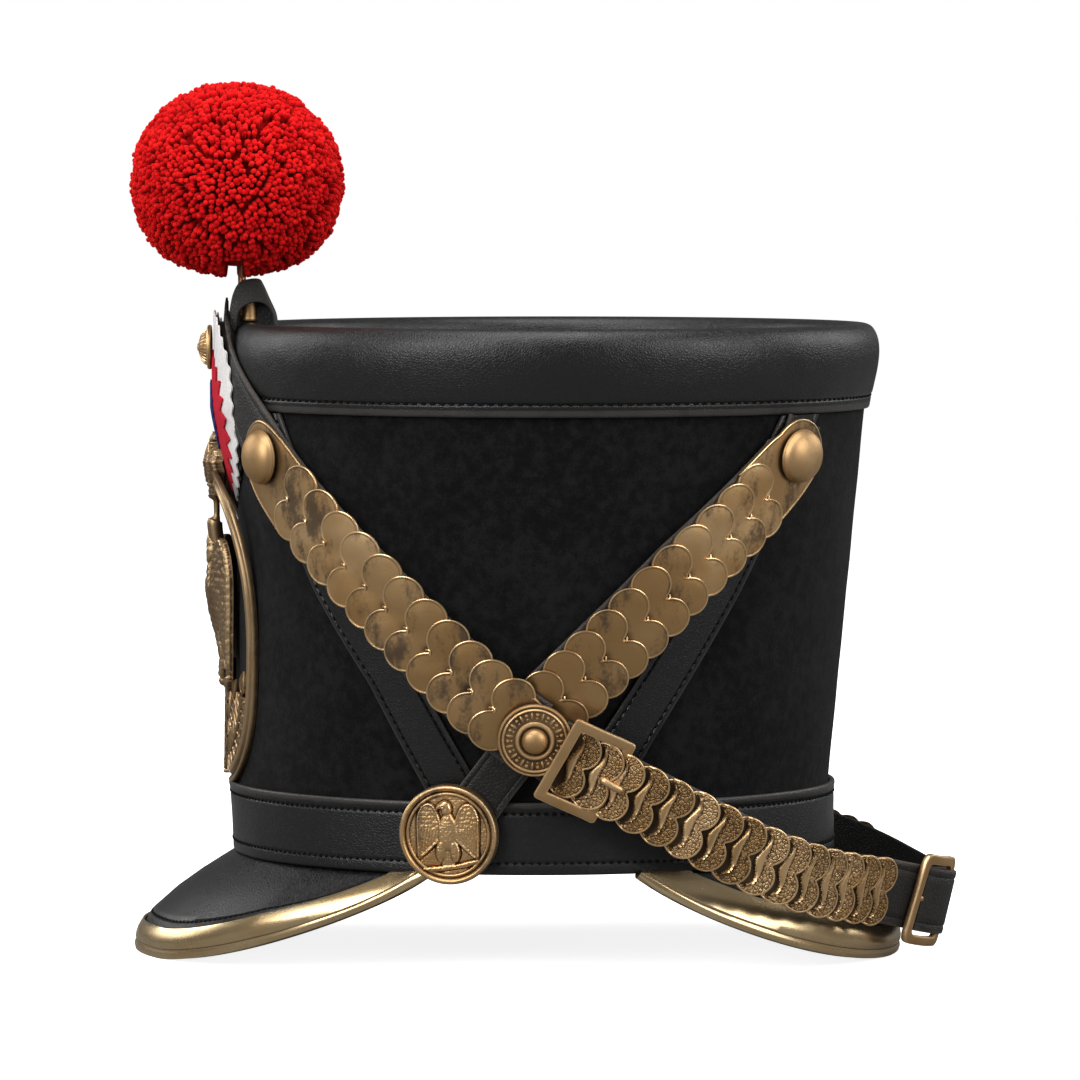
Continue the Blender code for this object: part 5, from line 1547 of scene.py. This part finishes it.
def build_eagle():
    """The eagle, its stem and the crown above it, standing off the felt."""
    rows = EAGLE_ROWS
    shape = Shape()
    narrow, tall, waist = 2.12, 2.75, 117.95

    def edge(x, z):
        return eagle_height(x / narrow, (z - waist) / tall)[1] * 2.3

    def face(x, z, away):
        return 1.15 * eagle_height(x / narrow, (z - waist) / tall)[0] - 0.7 + 0.32 * grains(x, z, 2.1, 6.0)

    body = arched(rows, lambda z: -108.0 - np.interp(z, rows[:, 0], rows[:, 3]), 1.6, 21.0)
    relief_plate(shape, edge, face, (-22.5, 84.0), (22.5, 150.0), 0.42, body, back=-1.5, blur=6, gain=0.8)
    crown = arched(rows, lambda z: np.interp(z, (160.0, 166.0, 175.0, 182.0), (2.0, 4.6, 4.4, 1.0)), 2.0)
    relief_plate(shape, lambda x, z: crown_ornament(x, z)[1], lambda x, z, away: crown_ornament(x, z)[0],
                 (-9.0, 160.0), (9.0, 184.0), 0.28, crown, back=-1.6, blur=6, gain=1.6)
    flat = lambda x, z, lift: np.stack(np.broadcast_arrays(x, -np.asarray(lift), z), -1)
    stem = smooth_path([(0.0, 138.0, 110.6), (0.0, 146.0, 112.0), (0.0, 150.6, 112.5), (0.0, 151.6, 112.3),
                        (0.0, 153.2, 111.8), (0.0, 156.0, 111.75), (0.0, 159.4, 112.0), (0.0, 161.5, 113.0)], 4)
    thick = np.interp(stem[:, 1], (138.0, 150.9, 151.5, 152.0, 153.4, 158.6, 160.5),
                      (2.6, 2.75, 2.5, 1.7, 1.05, 1.1, 2.2))
    rod(shape, flat, stem, thick, relief=0.6, sides=18)
    foot = smooth_path([(0.0, 88.0, 106.6), (0.0, 95.0, 107.0), (0.0, 103.0, 107.6)], 4)
    rod(shape, flat, foot, 2.4, relief=0.4, sides=14)
    knob = lambda a, b, c: np.stack(np.broadcast_arrays(a, -109.4 - np.asarray(c), b), -1)
    for x, z in ((-2.4, 98.6), (0.0, 97.4), (2.4, 98.8), (-0.6, 94.6), (1.6, 94.9)):
        bead(shape, knob, (x, z, 0.0), (1.9, 1.9, 1.8), relief=0.6, steps=12)
    shape.piece("plate_eagle_and_crown", "plate brass", "old_brass", ["plate_eagle"], smooth=45.0)


# --- Cockade ------------------------------------------------------------------------------------------------

def cockade_point(x, rise, lift):
    """Places flat cloth at x and rise from the cockade's middle on its bent, tucked surface."""
    bend = COCKADE_BEND + lift
    y = COCKADE_MID[1] + COCKADE_BEND - bend * np.cos(x / COCKADE_BEND)
    y = y + COCKADE_TUCK * (np.maximum(0.0, -rise) / COCKADE_R) ** 1.2
    return np.stack([bend * np.sin(x / COCKADE_BEND), y, COCKADE_MID[2] + rise], -1)


def cloth_disc(shape, outline, centre, lift, thick, ripple=0.0, rings=9, lean=0.0):
    """A disc of cloth with a cut edge: outline(angle) gives how far it reaches from its centre."""
    angles = circle(420)
    far = outline(angles)
    shares = np.concatenate([np.linspace(0.0, 0.9, rings), (0.96, 0.99, 1.0)])
    shell = []
    for face, drop in ((1.0, 0.0), (-1.0, -thick)):
        loops = []
        for share in shares:
            radius = CLOTH_HOLE + (far - CLOTH_HOLE) * share
            x, rise = centre[0] + radius * np.sin(angles), centre[1] + radius * np.cos(angles)
            soft = 0.12 * thick * (share > 0.985) * face
            wave = ripple * share ** 2 * np.sin(9.0 * angles + 1.0)
            away = lean * np.maximum(0.0, rise) / COCKADE_R
            loops.append(cockade_point(x, rise, lift + drop - soft + wave - away))
        shell += loops if face > 0 else loops[::-1]
    face_marks = np.interp(shares, (0.0, 0.9, 1.0), (0.45, 0.5, 0.6))
    # Marks: slightly lower towards the middle, and low on the back face.
    marks = np.repeat(np.concatenate([face_marks, np.full(len(shares), 0.3)]), len(angles))
    shape.loft(shell, marks, loop=True)


def build_cockade():
    def scallops(angles):
        return COCKADE_R - SCALLOP + SCALLOP * np.cos(angles * 32 + 0.9)

    def teeth(angles):
        saw = teeth_wave(angles * 24 / (2 * math.pi) + 0.2)
        base = 1.0 / np.sqrt((np.sin(angles) / 23.0) ** 2 + (np.cos(angles) / 20.5) ** 2)
        return base + 4.8 * saw

    def wavy(angles):
        return 12.6 + 0.5 * np.cos(angles * 18)

    discs = []
    for name, outline, centre, lift, thick, ripple, colour in (
            ("cockade_white", scallops, (0.0, 0.0), 0.75, 0.7, 0.18, "white cloth"),
            ("cockade_red", teeth, (0.0, -5.0), 1.5, 0.6, 0.1, "red cloth"),
            ("cockade_blue", wavy, (0.0, -3.6), 2.15, 0.55, 0.0, "blue cloth")):
        shape = Shape()
        cloth_disc(shape, outline, centre, lift, thick, ripple=ripple)
        piece = shape.piece(name, colour, "cockade_cloth", ["cockade"] if "white" in name else ())
        reach = outline(circle(720))
        ["cockade_leather"] if "white" in name else [discs[-1]]
        discs.append(name)
    build_cockade_leather()
    build_cockade_button()


def build_cockade_leather():
    """The stiff black disc behind the cloth, with a pointed tip above and a nibbled edge."""
    shape = Shape()
    cloth_disc(shape, lambda angles: 33.6 + 4.6 * np.maximum(0.0, np.cos(angles)) ** 60 + 0.4 * np.sin(angles * 40),
               (0.0, 0.0), -0.1, 1.0, rings=4, lean=2.9)
    cloth_disc(shape, lambda angles: np.full_like(angles, 30.0), (0.0, 0.0), -0.9, 5.2, rings=3)
    shape.piece("cockade_leather", "strap leather", "leather", ["cockade_backing"])


DOME_BEND = 1.4
DOME_R, DOME_LOW, DOME_HIGH = 6.5, 0.9, 3.7


def dome_point(bend):
    """Radius and height on the button's dome, from 0 at its top to DOME_BEND at its edge."""
    last = math.cos(DOME_BEND)
    return DOME_R * math.sin(bend) / math.sin(DOME_BEND), DOME_LOW + DOME_HIGH * (math.cos(bend) - last) / (1 - last)


def build_cockade_button():
    shape = Shape()
    place = (np.array((0.0, COCKADE_MID[1] - 1.7, 212.9)),
             np.array(((1.0, 0.0, 0.0), (0.0, 0.0, 1.0), (0.0, -1.0, 0.0))))
    profile = [dome_point(bend) for bend in np.linspace(0.0, DOME_BEND, 14)]
    marks = [0.8 - 0.4 * k / 13 for k in range(14)]
    profile += [(6.7, 0.7), (7.0, 1.2), (7.4, 1.35), (7.8, 1.0), (7.9, 0.3), (7.6, -0.1), (0.0, -0.1)]
    # Marks: brighter towards the dome's top, painted shade in the groove round it.
    marks += [0.0, 0.7, 1.0, 0.8, 0.4, 0.2, 0.2]
    turned(shape, profile, place, relief=marks, steps=60)
    flat = flat_on(place)
    for k in range(28):
        angle = 2 * math.pi * k / 28
        path = []
        for bend in np.linspace(0.55, 1.28, 6):
            radius, height = dome_point(bend)
            path.append((radius * math.cos(angle), radius * math.sin(angle), height + 0.02))
        rod(shape, flat, path, (0.08, 0.2, 0.26, 0.3, 0.26, 0.12), relief=0.9, sides=6)
    bead(shape, flat, (0.0, 0.0, 4.6), (1.4, 1.4, 0.45), steps=16)
    shape.piece("cockade_dome_button", "rivet brass", "old_brass", ["cockade_button"])


# --- Pompom and its socket ----------------------------------------------------------------------------------

LOOP_OUTER = ((-106.9, 217.6), (-106.8, 224.5), (-106.4, 228.2), (-105.4, 232.3), (-103.5, 235.6), (-100.2, 236.9),
              (-96.6, 236.9), (-95.0, 234.6), (-92.9, 229.8), (-90.8, 225.0), (-90.2, 221.0), (-90.2, 216.5))
LOOP_INNER = ((-91.2, 216.5), (-91.3, 222.4), (-92.1, 225.6), (-94.0, 227.9), (-97.0, 228.8), (-100.9, 227.8),
              (-103.6, 225.0), (-104.6, 217.6))


def build_socket():
    """The leather loop on the rim, the brass tube in it and the copper stem."""
    outer, inner = smooth_path(LOOP_OUTER, 5), smooth_path(LOOP_INNER, 5)
    ring = np.concatenate([outer, inner])
    swell = np.concatenate([np.ones(len(outer)), -np.ones(len(inner))])[:, None]
    middle = np.array((-98.6, 226.0))
    away = (ring - middle) / np.linalg.norm(ring - middle, axis=1, keepdims=True)
    half = np.interp(ring[:, 1], (216.5, 226.0, 237.0), (7.0, 6.6, 4.4))
    rings = []
    for share, shrink in ((-1.0, 0.45), (-0.96, 0.12), (-0.88, 0.0), (-0.5, -0.05), (0.0, -0.08), (0.5, -0.05),
                          (0.88, 0.0), (0.96, 0.12), (1.0, 0.45)):
        flat = ring - away * swell * shrink
        rings.append(np.column_stack([share * half, flat]))
    shape = Shape()
    marks = np.repeat((0.6, 1.0, 0.7, 0.5, 0.5, 0.5, 0.7, 1.0, 0.6), len(ring))
    shape.loft(rings, marks, caps=True)
    tongue = smooth_path(LOOP_INNER, 5)
    # The tongue inside the loop is marked low: painted shade in the loop's opening.
    shape.loft([np.column_stack([np.full(len(tongue), x), tongue]) for x in (-1.1, 1.1)], -0.5, caps=True)
    shape.piece("plume_loop", "worn leather", "leather", ["socket_loop"])

    upright = (np.array(SEAT) + (0.0, 1.4, 0.0), np.eye(3))
    shape = Shape()
    turned(shape, rounded([(1.75, 13.4), (2.7, 13.6), (3.0, 13.1), (2.9, 12.5), (2.9, 1.2), (3.05, 0.8), (2.9, 0.0),
                           (1.75, 0.0)], 0.2, 3, closed=False), upright, steps=36)
    shape.piece("plume_tube", "rivet brass", "old_brass", ["socket_tube"])
    upright = (np.array(SEAT) - (0.0, 1.2, 0.0), np.eye(3))
    shape = Shape()
    turned(shape, [(0.0, 22.0), (1.4, 22.0), (1.42, 12.0), (1.38, 8.0), (1.4, 2.0), (0.0, 2.0)], upright, steps=24)
    shape.piece("plume_stem", "copper", "copper", ["pompom_stem"])


def pompom_size(heading, wide, high):
    """Half sizes of the ball in a direction: fuller low down, where the yarn sags."""
    polar = np.degrees(np.arccos(np.clip(heading[..., 2], -1.0, 1.0)))
    full = 1.0 + 0.045 * np.exp(-((polar - 132.0) / 22.0) ** 2)
    return np.array((wide, wide, high)) * full[..., None]


TUFTS = 150
TUFT_PULL = 0.09
ROOT_DEPTH, CORE_DEPTH = 0.62, 0.885
STRAND_SIDES = 6
# Rings of a strand: mm back from its tip, share of its thickness, relief mark; the marks paint the strand dark at its
# root and bright at its tip, as painted shade deep in the ball.
STRAND_RINGS = ((5.4, 0.86, -0.1), (1.2, 1.0, 0.66), (0.36, 0.86, 0.92), (0.02, 0.44, 1.0))


def build_pompom(count, wide, high):
    """A ball of cut yarn: a core painted dark as shade, and thousands of round-ended strands drawn into soft tufts.
    """
    random = np.random.default_rng(3)
    k = np.arange(count) + 0.5
    polar = np.arccos(1.0 - 2.0 * k / count)
    turn = math.pi * (1.0 + 5.0 ** 0.5) * k
    heading = np.stack([np.sin(polar) * np.cos(turn), np.sin(polar) * np.sin(turn), np.cos(polar)], -1)
    heading += random.normal(0.0, 0.012, heading.shape)
    heading /= np.linalg.norm(heading, axis=1, keepdims=True)
    tufts = random.normal(size=(TUFTS, 3))
    tufts /= np.linalg.norm(tufts, axis=1, keepdims=True)
    near = np.argmax(heading @ tufts.T, axis=1)
    tips = heading + TUFT_PULL * (tufts[near] - heading)
    tips /= np.linalg.norm(tips, axis=1, keepdims=True)
    reach = np.clip(random.normal(0.0, 0.34, count) + random.normal(0.0, 0.34, len(tufts))[near], -1.4, 0.8) - 0.35
    end = tips * pompom_size(tips, wide, high) + tips * reach[:, None] + random.normal(0.0, 0.25, tips.shape)
    root = heading * pompom_size(heading, wide, high) * ROOT_DEPTH
    low = end[:, 2] < 6.0 - high
    slot = low & (((end[:, 1] > -4.3) & (end[:, 1] < 0.6))
                  | ((end[:, 1] > -4.3) & (end[:, 1] < 3.4) & (end[:, 0] > -2.0)))
    end, root, count = end[~slot], root[~slot], int((~slot).sum())
    path = end - root
    side = np.cross(path, random.normal(size=path.shape))
    side /= np.linalg.norm(side, axis=1, keepdims=True)
    over = np.cross(path, side)
    over /= np.linalg.norm(over, axis=1, keepdims=True)
    thick = random.uniform(0.92, 1.16, count)
    random.normal(0.0, 0.6, count)  # not used, and kept for the order of the draws
    angles = circle(STRAND_SIDES)
    rows, marks = [], []
    long = np.linalg.norm(path, axis=1, keepdims=True)
    for back, fat, mark in STRAND_RINGS:
        centre = end - path / long * back
        wheel = np.cos(angles)[None, :, None] * side[:, None] + np.sin(angles)[None, :, None] * over[:, None]
        rows.append(centre[:, None] + wheel * (thick * fat)[:, None, None])
        marks.append(np.full((count, STRAND_SIDES), mark))
    points = np.stack(rows, axis=1).reshape(count, -1, 3)
    one = skin(np.zeros((len(rows), STRAND_SIDES, 3)))[1][0]
    cap = (np.arange(STRAND_SIDES) + (len(rows) - 1) * STRAND_SIDES)[None]
    starts = np.arange(count)[:, None, None] * len(rows) * STRAND_SIDES
    faces = [(one[None] + starts).reshape(-1, 4), (cap[None] + starts).reshape(-1, STRAND_SIDES)]
    shape = Shape()
    shape.add(points.reshape(-1, 3) + POMPOM_MID, faces, np.stack(marks, axis=1).ravel(),
              np.repeat(random.random(count), len(rows) * STRAND_SIDES))
    grid = np.linspace(0.02, math.pi - 0.02, 30)
    round_it = circle(48)
    core = np.stack([np.outer(np.sin(grid), np.cos(round_it)), np.outer(np.sin(grid), np.sin(round_it)),
                     np.outer(np.cos(grid), np.ones(48))], -1)
    core = core * pompom_size(core, wide, high) * CORE_DEPTH
    points, faces = skin(core, caps=True)
    shape.add(points + POMPOM_MID, faces, 0.0, 0.3)
    shape.piece("yarn_pompom", "red wool", "wool", ["pompom"], smooth=70.0)


# --- Stage --------------------------------------------------------------------------------------------------

FLOOR_REACH = 12.0
LIGHT_AIM = (0.0, 0.0, 0.14)
# Soft boxes in metres: name, place, size and share of the key light's power
LIGHTS = (("front box", (1.4, -1.25, 1.05), (1.1, 1.3), 1.0), ("rear box", (1.15, 1.5, 0.9), (1.1, 1.3), 0.78),
          ("top box", (0.45, -0.1, 1.9), (1.3, 1.8), 1.2), ("far front box", (-0.8, -1.7, 0.95), (1.1, 1.1), 0.4),
          ("far rear box", (-0.8, 1.7, 0.95), (1.1, 1.1), 0.4))


def aimed(name, data, spot, aim):
    """Puts a light or camera in the scene at spot, turned to aim."""
    made = bpy.data.objects.new(name, data)
    made.location = spot
    made.rotation_mode = "QUATERNION"
    made.rotation_quaternion = (Vector(aim) - Vector(spot)).to_track_quat("-Z", "Y")
    bpy.context.scene.collection.objects.link(made)
    return made


def soft_light(name, spot, aim, size, power):
    data = bpy.data.lights.new(name, "AREA")
    data.shape, data.size, data.size_y = "RECTANGLE", size[0], size[1]
    data.energy = power
    aimed(name, data, spot, aim)


def build_stage(options):
    mesh = bpy.data.meshes.new("floor")
    corners = ((-1, -1), (1, -1), (1, 1), (-1, 1))
    mesh.from_pydata([(x * FLOOR_REACH, y * FLOOR_REACH, 0.0) for x, y in corners], [], [(0, 1, 2, 3)])
    mesh.materials.append(bpy.data.materials["pale floor"])
    floor = bpy.data.objects.new("floor", mesh)
    bpy.context.scene.collection.objects.link(floor)

    world = bpy.data.worlds.new("studio")
    bpy.context.scene.world = world
    world.use_nodes = True
    tree = world.node_tree
    back = tree.nodes["Background"]
    path = add_node(tree, "LightPath").outputs["Is Camera Ray"]
    seen = add_node(tree, "Background", {"Color": WHITE, "Strength": 1.0})
    plug_all(tree, back, {"Color": WHITE, "Strength": options.fill})
    mixed = add_node(tree, "MixShader", {0: path, 1: back.outputs[0], 2: seen.outputs[0]})
    tree.links.new(mixed.outputs[0], tree.nodes["World Output"].inputs["Surface"])

    for name, spot, size, share in LIGHTS:
        soft_light(name, spot, LIGHT_AIM, size, options.key * share)
    bpy.context.scene.view_settings.view_transform = "Standard"
    build_camera(options)


def build_camera(options):
    data = bpy.data.cameras.new("photo view")
    data.lens, data.sensor_width = options.lens, 36.0
    data.clip_start, data.clip_end = 0.1, 30.0
    bpy.context.scene.camera = aimed("photo view", data, options.camera_spot, options.camera_aim)


# --- Add-on -------------------------------------------------------------------------------------------------

class ShakoColours(bpy.types.PropertyGroup):
    felt: FloatVectorProperty(name="Felt", description="Colour of the crown's felt", subtype="COLOR",
                              default=(0.0046, 0.0046, 0.0046), min=0.0, max=1.0)
    leather: FloatVectorProperty(name="Band leather", description="Colour of the bands and braces", subtype="COLOR",
                                 default=(0.0045, 0.0045, 0.0045), min=0.0, max=1.0)
    strap: FloatVectorProperty(name="Strap leather", description="Colour of the straps", subtype="COLOR",
                               default=(0.0072, 0.0058, 0.0048), min=0.0, max=1.0)
    brass: FloatVectorProperty(name="Old brass", description="Colour of the aged brass", subtype="COLOR",
                               default=(0.55, 0.325, 0.135), min=0.0, max=1.0)
    rubbed: FloatVectorProperty(name="Rubbed brass", description="Colour of edges rubbed bright", subtype="COLOR",
                                default=(0.8, 0.56, 0.31), min=0.0, max=1.0)
    tarnish: FloatVectorProperty(name="Tarnish", description="Colour of the dark patina", subtype="COLOR",
                                 default=(0.07, 0.054, 0.044), min=0.0, max=1.0)
    trim: FloatVectorProperty(name="Peak trim", description="Colour of the polished trims", subtype="COLOR",
                              default=(0.7, 0.5, 0.26), min=0.0, max=1.0)
    wool: FloatVectorProperty(name="Pompom wool", description="Colour of the yarn", subtype="COLOR",
                              default=(0.6, 0.002, 0.007), min=0.0, max=1.0)


class ShakoPompom(bpy.types.PropertyGroup):
    strands: IntProperty(name="Strands", description="Number of yarn ends", default=4500, min=200, max=4800)
    wide: FloatProperty(name="Half width", description="Half the ball's width in mm", default=37.5, min=5.0)
    high: FloatProperty(name="Half height", description="Half the ball's height in mm", default=34.5, min=5.0)


class ShakoStage(bpy.types.PropertyGroup):
    fill: FloatProperty(name="Fill", description="Strength of the even light all round", default=0.16, min=0.0)
    key: FloatProperty(name="Key", description="Power of the main soft light", default=30.0, min=0.0, unit="POWER")
    lens: FloatProperty(name="Lens", description="Focal length", default=193.3, min=10.0, subtype="DISTANCE_CAMERA")
    camera_spot: FloatVectorProperty(name="Camera", description="Where the camera stands", subtype="TRANSLATION",
                                     default=(2.05, -0.00115, 0.265), unit="LENGTH")
    camera_aim: FloatVectorProperty(name="Aim", description="What the camera points at", subtype="TRANSLATION",
                                    default=(0.0, -0.00115, 0.1446), unit="LENGTH")


class SHAKO_OT_finishes(bpy.types.Operator):
    """Makes the shared node groups and every finish"""
    bl_idname = "shako.finishes"
    bl_label = "Finishes"

    def execute(self, context):
        colours = context.scene.shako_colours
        felt, leather, straps, brass, rubbed, tarnish, trim, wool = (
            tuple(getattr(colours, name)) for name in ("felt", "leather", "strap", "brass", "rubbed", "tarnish",
                                                       "trim", "wool"))
        for build in (build_grain_group, build_wear_and_shade_group, build_patina_group, build_fibre_group, build_dust_group):
            build()
        felt_finish(felt)
        leather_finish("black leather", leather, 0.34, 1000.0, 0.0001)
        leather_finish("peak leather", leather, 0.3, 1000.0, 0.00007, wrinkle=0.25)
        leather_finish("strap leather", straps, 0.5, 800.0, 0.0002, wrinkle=0.6, edge=(0.07, 0.055, 0.045))
        leather_finish("worn leather", (0.021, 0.0202, 0.0195), 0.6, 900.0, 0.0002, wrinkle=0.6)
        leather_finish("black thread", (0.0016, 0.0016, 0.0016), 0.8, 2000.0, 0.0001, wrinkle=0.1,
                       edge=(0.004, 0.004, 0.004), gloss=0.15)
        brass_finish("old brass", brass, rubbed, tarnish, 0.4, clouds=0.5, cloud_share=0.82)
        brass_finish("plate brass", tuple(0.44 * c + 0.034 for c in brass), tuple(0.72 * c for c in rubbed),
                     tuple(0.7 * c for c in tarnish), 0.42, clouds=0.54, cloud_share=0.6)
        brass_finish("chin brass", brass, rubbed, tarnish, 0.42, clouds=0.62,
                     cloud_share=0.45, pebbled=True)
        brass_finish("rivet brass", tuple(0.92 * c for c in brass), rubbed, tarnish, 0.5, clouds=0.6,
                     cloud_share=0.45, pitted=0.00003)
        brass_finish("bright brass", trim, (0.9, 0.72, 0.45), (0.34, 0.22, 0.12), 0.27, clouds=0.58,
                     cloud_share=0.3, pitted=0.00002)
        brass_finish("copper", (0.5, 0.2, 0.1), (0.8, 0.45, 0.28), (0.15, 0.06, 0.03), 0.35, cloud_share=0.4)
        wool_finish(wool)
        cloth_finish("white cloth", (0.82, 0.79, 0.78))
        cloth_finish("red cloth", (0.56, 0.012, 0.03))
        cloth_finish("blue cloth", (0.02, 0.035, 0.16))
        floor_finish((0.9, 0.9, 0.9))
        return {"FINISHED"}


class SHAKO_OT_crown(bpy.types.Operator):
    """Builds the felt body, its leather bands, the sunken top and their stitches"""
    bl_idname = "shako.crown"
    bl_label = "Crown and bands"

    def execute(self, context):
        build_felt()
        build_top_leather()
        build_base_leather()
        build_crown_disc()
        build_band_stitches()
        return {"FINISHED"}


class SHAKO_OT_braces(bpy.types.Operator):
    """Builds the stitched leather braces on both sides"""
    bl_idname = "shako.braces"
    bl_label = "Side braces"

    def execute(self, context):
        for side, word in ((1, "left"), (-1, "right")):
            build_chevrons(side, word)
        return {"FINISHED"}


class SHAKO_OT_peaks(bpy.types.Operator):
    """Builds the two leather peaks with their brass trims"""
    bl_idname = "shako.peaks"
    bl_label = "Peaks"

    def execute(self, context):
        build_peak("front_visor", FRONT_PEAK, "front_peak")
        build_peak("rear_visor", REAR_PEAK, "rear_peak")
        return {"FINISHED"}


class SHAKO_OT_straps(bpy.types.Operator):
    """Builds the scaled straps on the crown with their rivets, bosses and buttons"""
    bl_idname = "shako.straps"
    bl_label = "Crown straps"

    def execute(self, context):
        for side, word in ((1, "left"), (-1, "right")):
            build_crown_straps(side, word)
            build_rivets(side, word)
            build_boss(side, word)
            build_side_buttons(side, word)
        return {"FINISHED"}


class SHAKO_OT_chin(bpy.types.Operator):
    """Builds the chin straps with their scales and buckles"""
    bl_idname = "shako.chin"
    bl_label = "Chin straps"

    def execute(self, context):
        for side, word in ((1, "left"), (-1, "right")):
            build_chin(side, word)
        return {"FINISHED"}


class SHAKO_OT_plate(bpy.types.Operator):
    """Builds the front plate: oval, laurel, eagle and crown"""
    bl_idname = "shako.plate"
    bl_label = "Front plate"

    def execute(self, context):
        build_plate_frame()
        build_wreath()
        build_eagle()
        return {"FINISHED"}


class SHAKO_OT_cockade(bpy.types.Operator):
    """Builds the three-coloured cockade with its backing and button"""
    bl_idname = "shako.cockade"
    bl_label = "Cockade"

    def execute(self, context):
        build_cockade()
        return {"FINISHED"}


class SHAKO_OT_plume(bpy.types.Operator):
    """Builds the pompom, its stem and the leather loop that holds it"""
    bl_idname = "shako.plume"
    bl_label = "Pompom"

    def execute(self, context):
        build_socket()
        options = context.scene.shako_pompom
        build_pompom(options.strands, options.wide, options.high)
        return {"FINISHED"}


class SHAKO_OT_stage(bpy.types.Operator):
    """Sets the floor, the lights and the camera"""
    bl_idname = "shako.stage"
    bl_label = "Stage"

    def execute(self, context):
        build_stage(context.scene.shako_stage)
        return {"FINISHED"}


STEPS = (SHAKO_OT_finishes, SHAKO_OT_crown, SHAKO_OT_braces, SHAKO_OT_peaks, SHAKO_OT_straps, SHAKO_OT_chin,
         SHAKO_OT_plate, SHAKO_OT_cockade, SHAKO_OT_plume, SHAKO_OT_stage)


class SHAKO_PT_panel(bpy.types.Panel):
    """Lists the steps of dressing the hat"""
    bl_idname = "SHAKO_PT_panel"
    bl_label = "Shako"
    bl_space_type, bl_region_type, bl_category = "VIEW_3D", "UI", "Shako"

    def draw(self, context):
        for settings in ("shako_colours", "shako_pompom", "shako_stage"):
            group = getattr(context.scene, settings)
            box = self.layout.box()
            for name in group.bl_rna.properties.keys():
                if name not in ("rna_type", "name"):
                    box.prop(group, name)
        for step in STEPS:
            self.layout.operator(step.bl_idname)


CLASSES = (ShakoColours, ShakoPompom, ShakoStage, *STEPS, SHAKO_PT_panel)
SETTINGS = {"shako_colours": ShakoColours, "shako_pompom": ShakoPompom, "shako_stage": ShakoStage}


def register():
    for item in CLASSES:
        bpy.utils.register_class(item)
    for name, kind in SETTINGS.items():
        setattr(bpy.types.Scene, name, PointerProperty(type=kind))


def unregister():
    for name in SETTINGS:
        delattr(bpy.types.Scene, name)
    for item in reversed(CLASSES):
        bpy.utils.unregister_class(item)


def main():
    register()
    for step in STEPS:
        family, name = step.bl_idname.split(".")
        getattr(getattr(bpy.ops, family), name)()


if __name__ == "__main__":
    main()
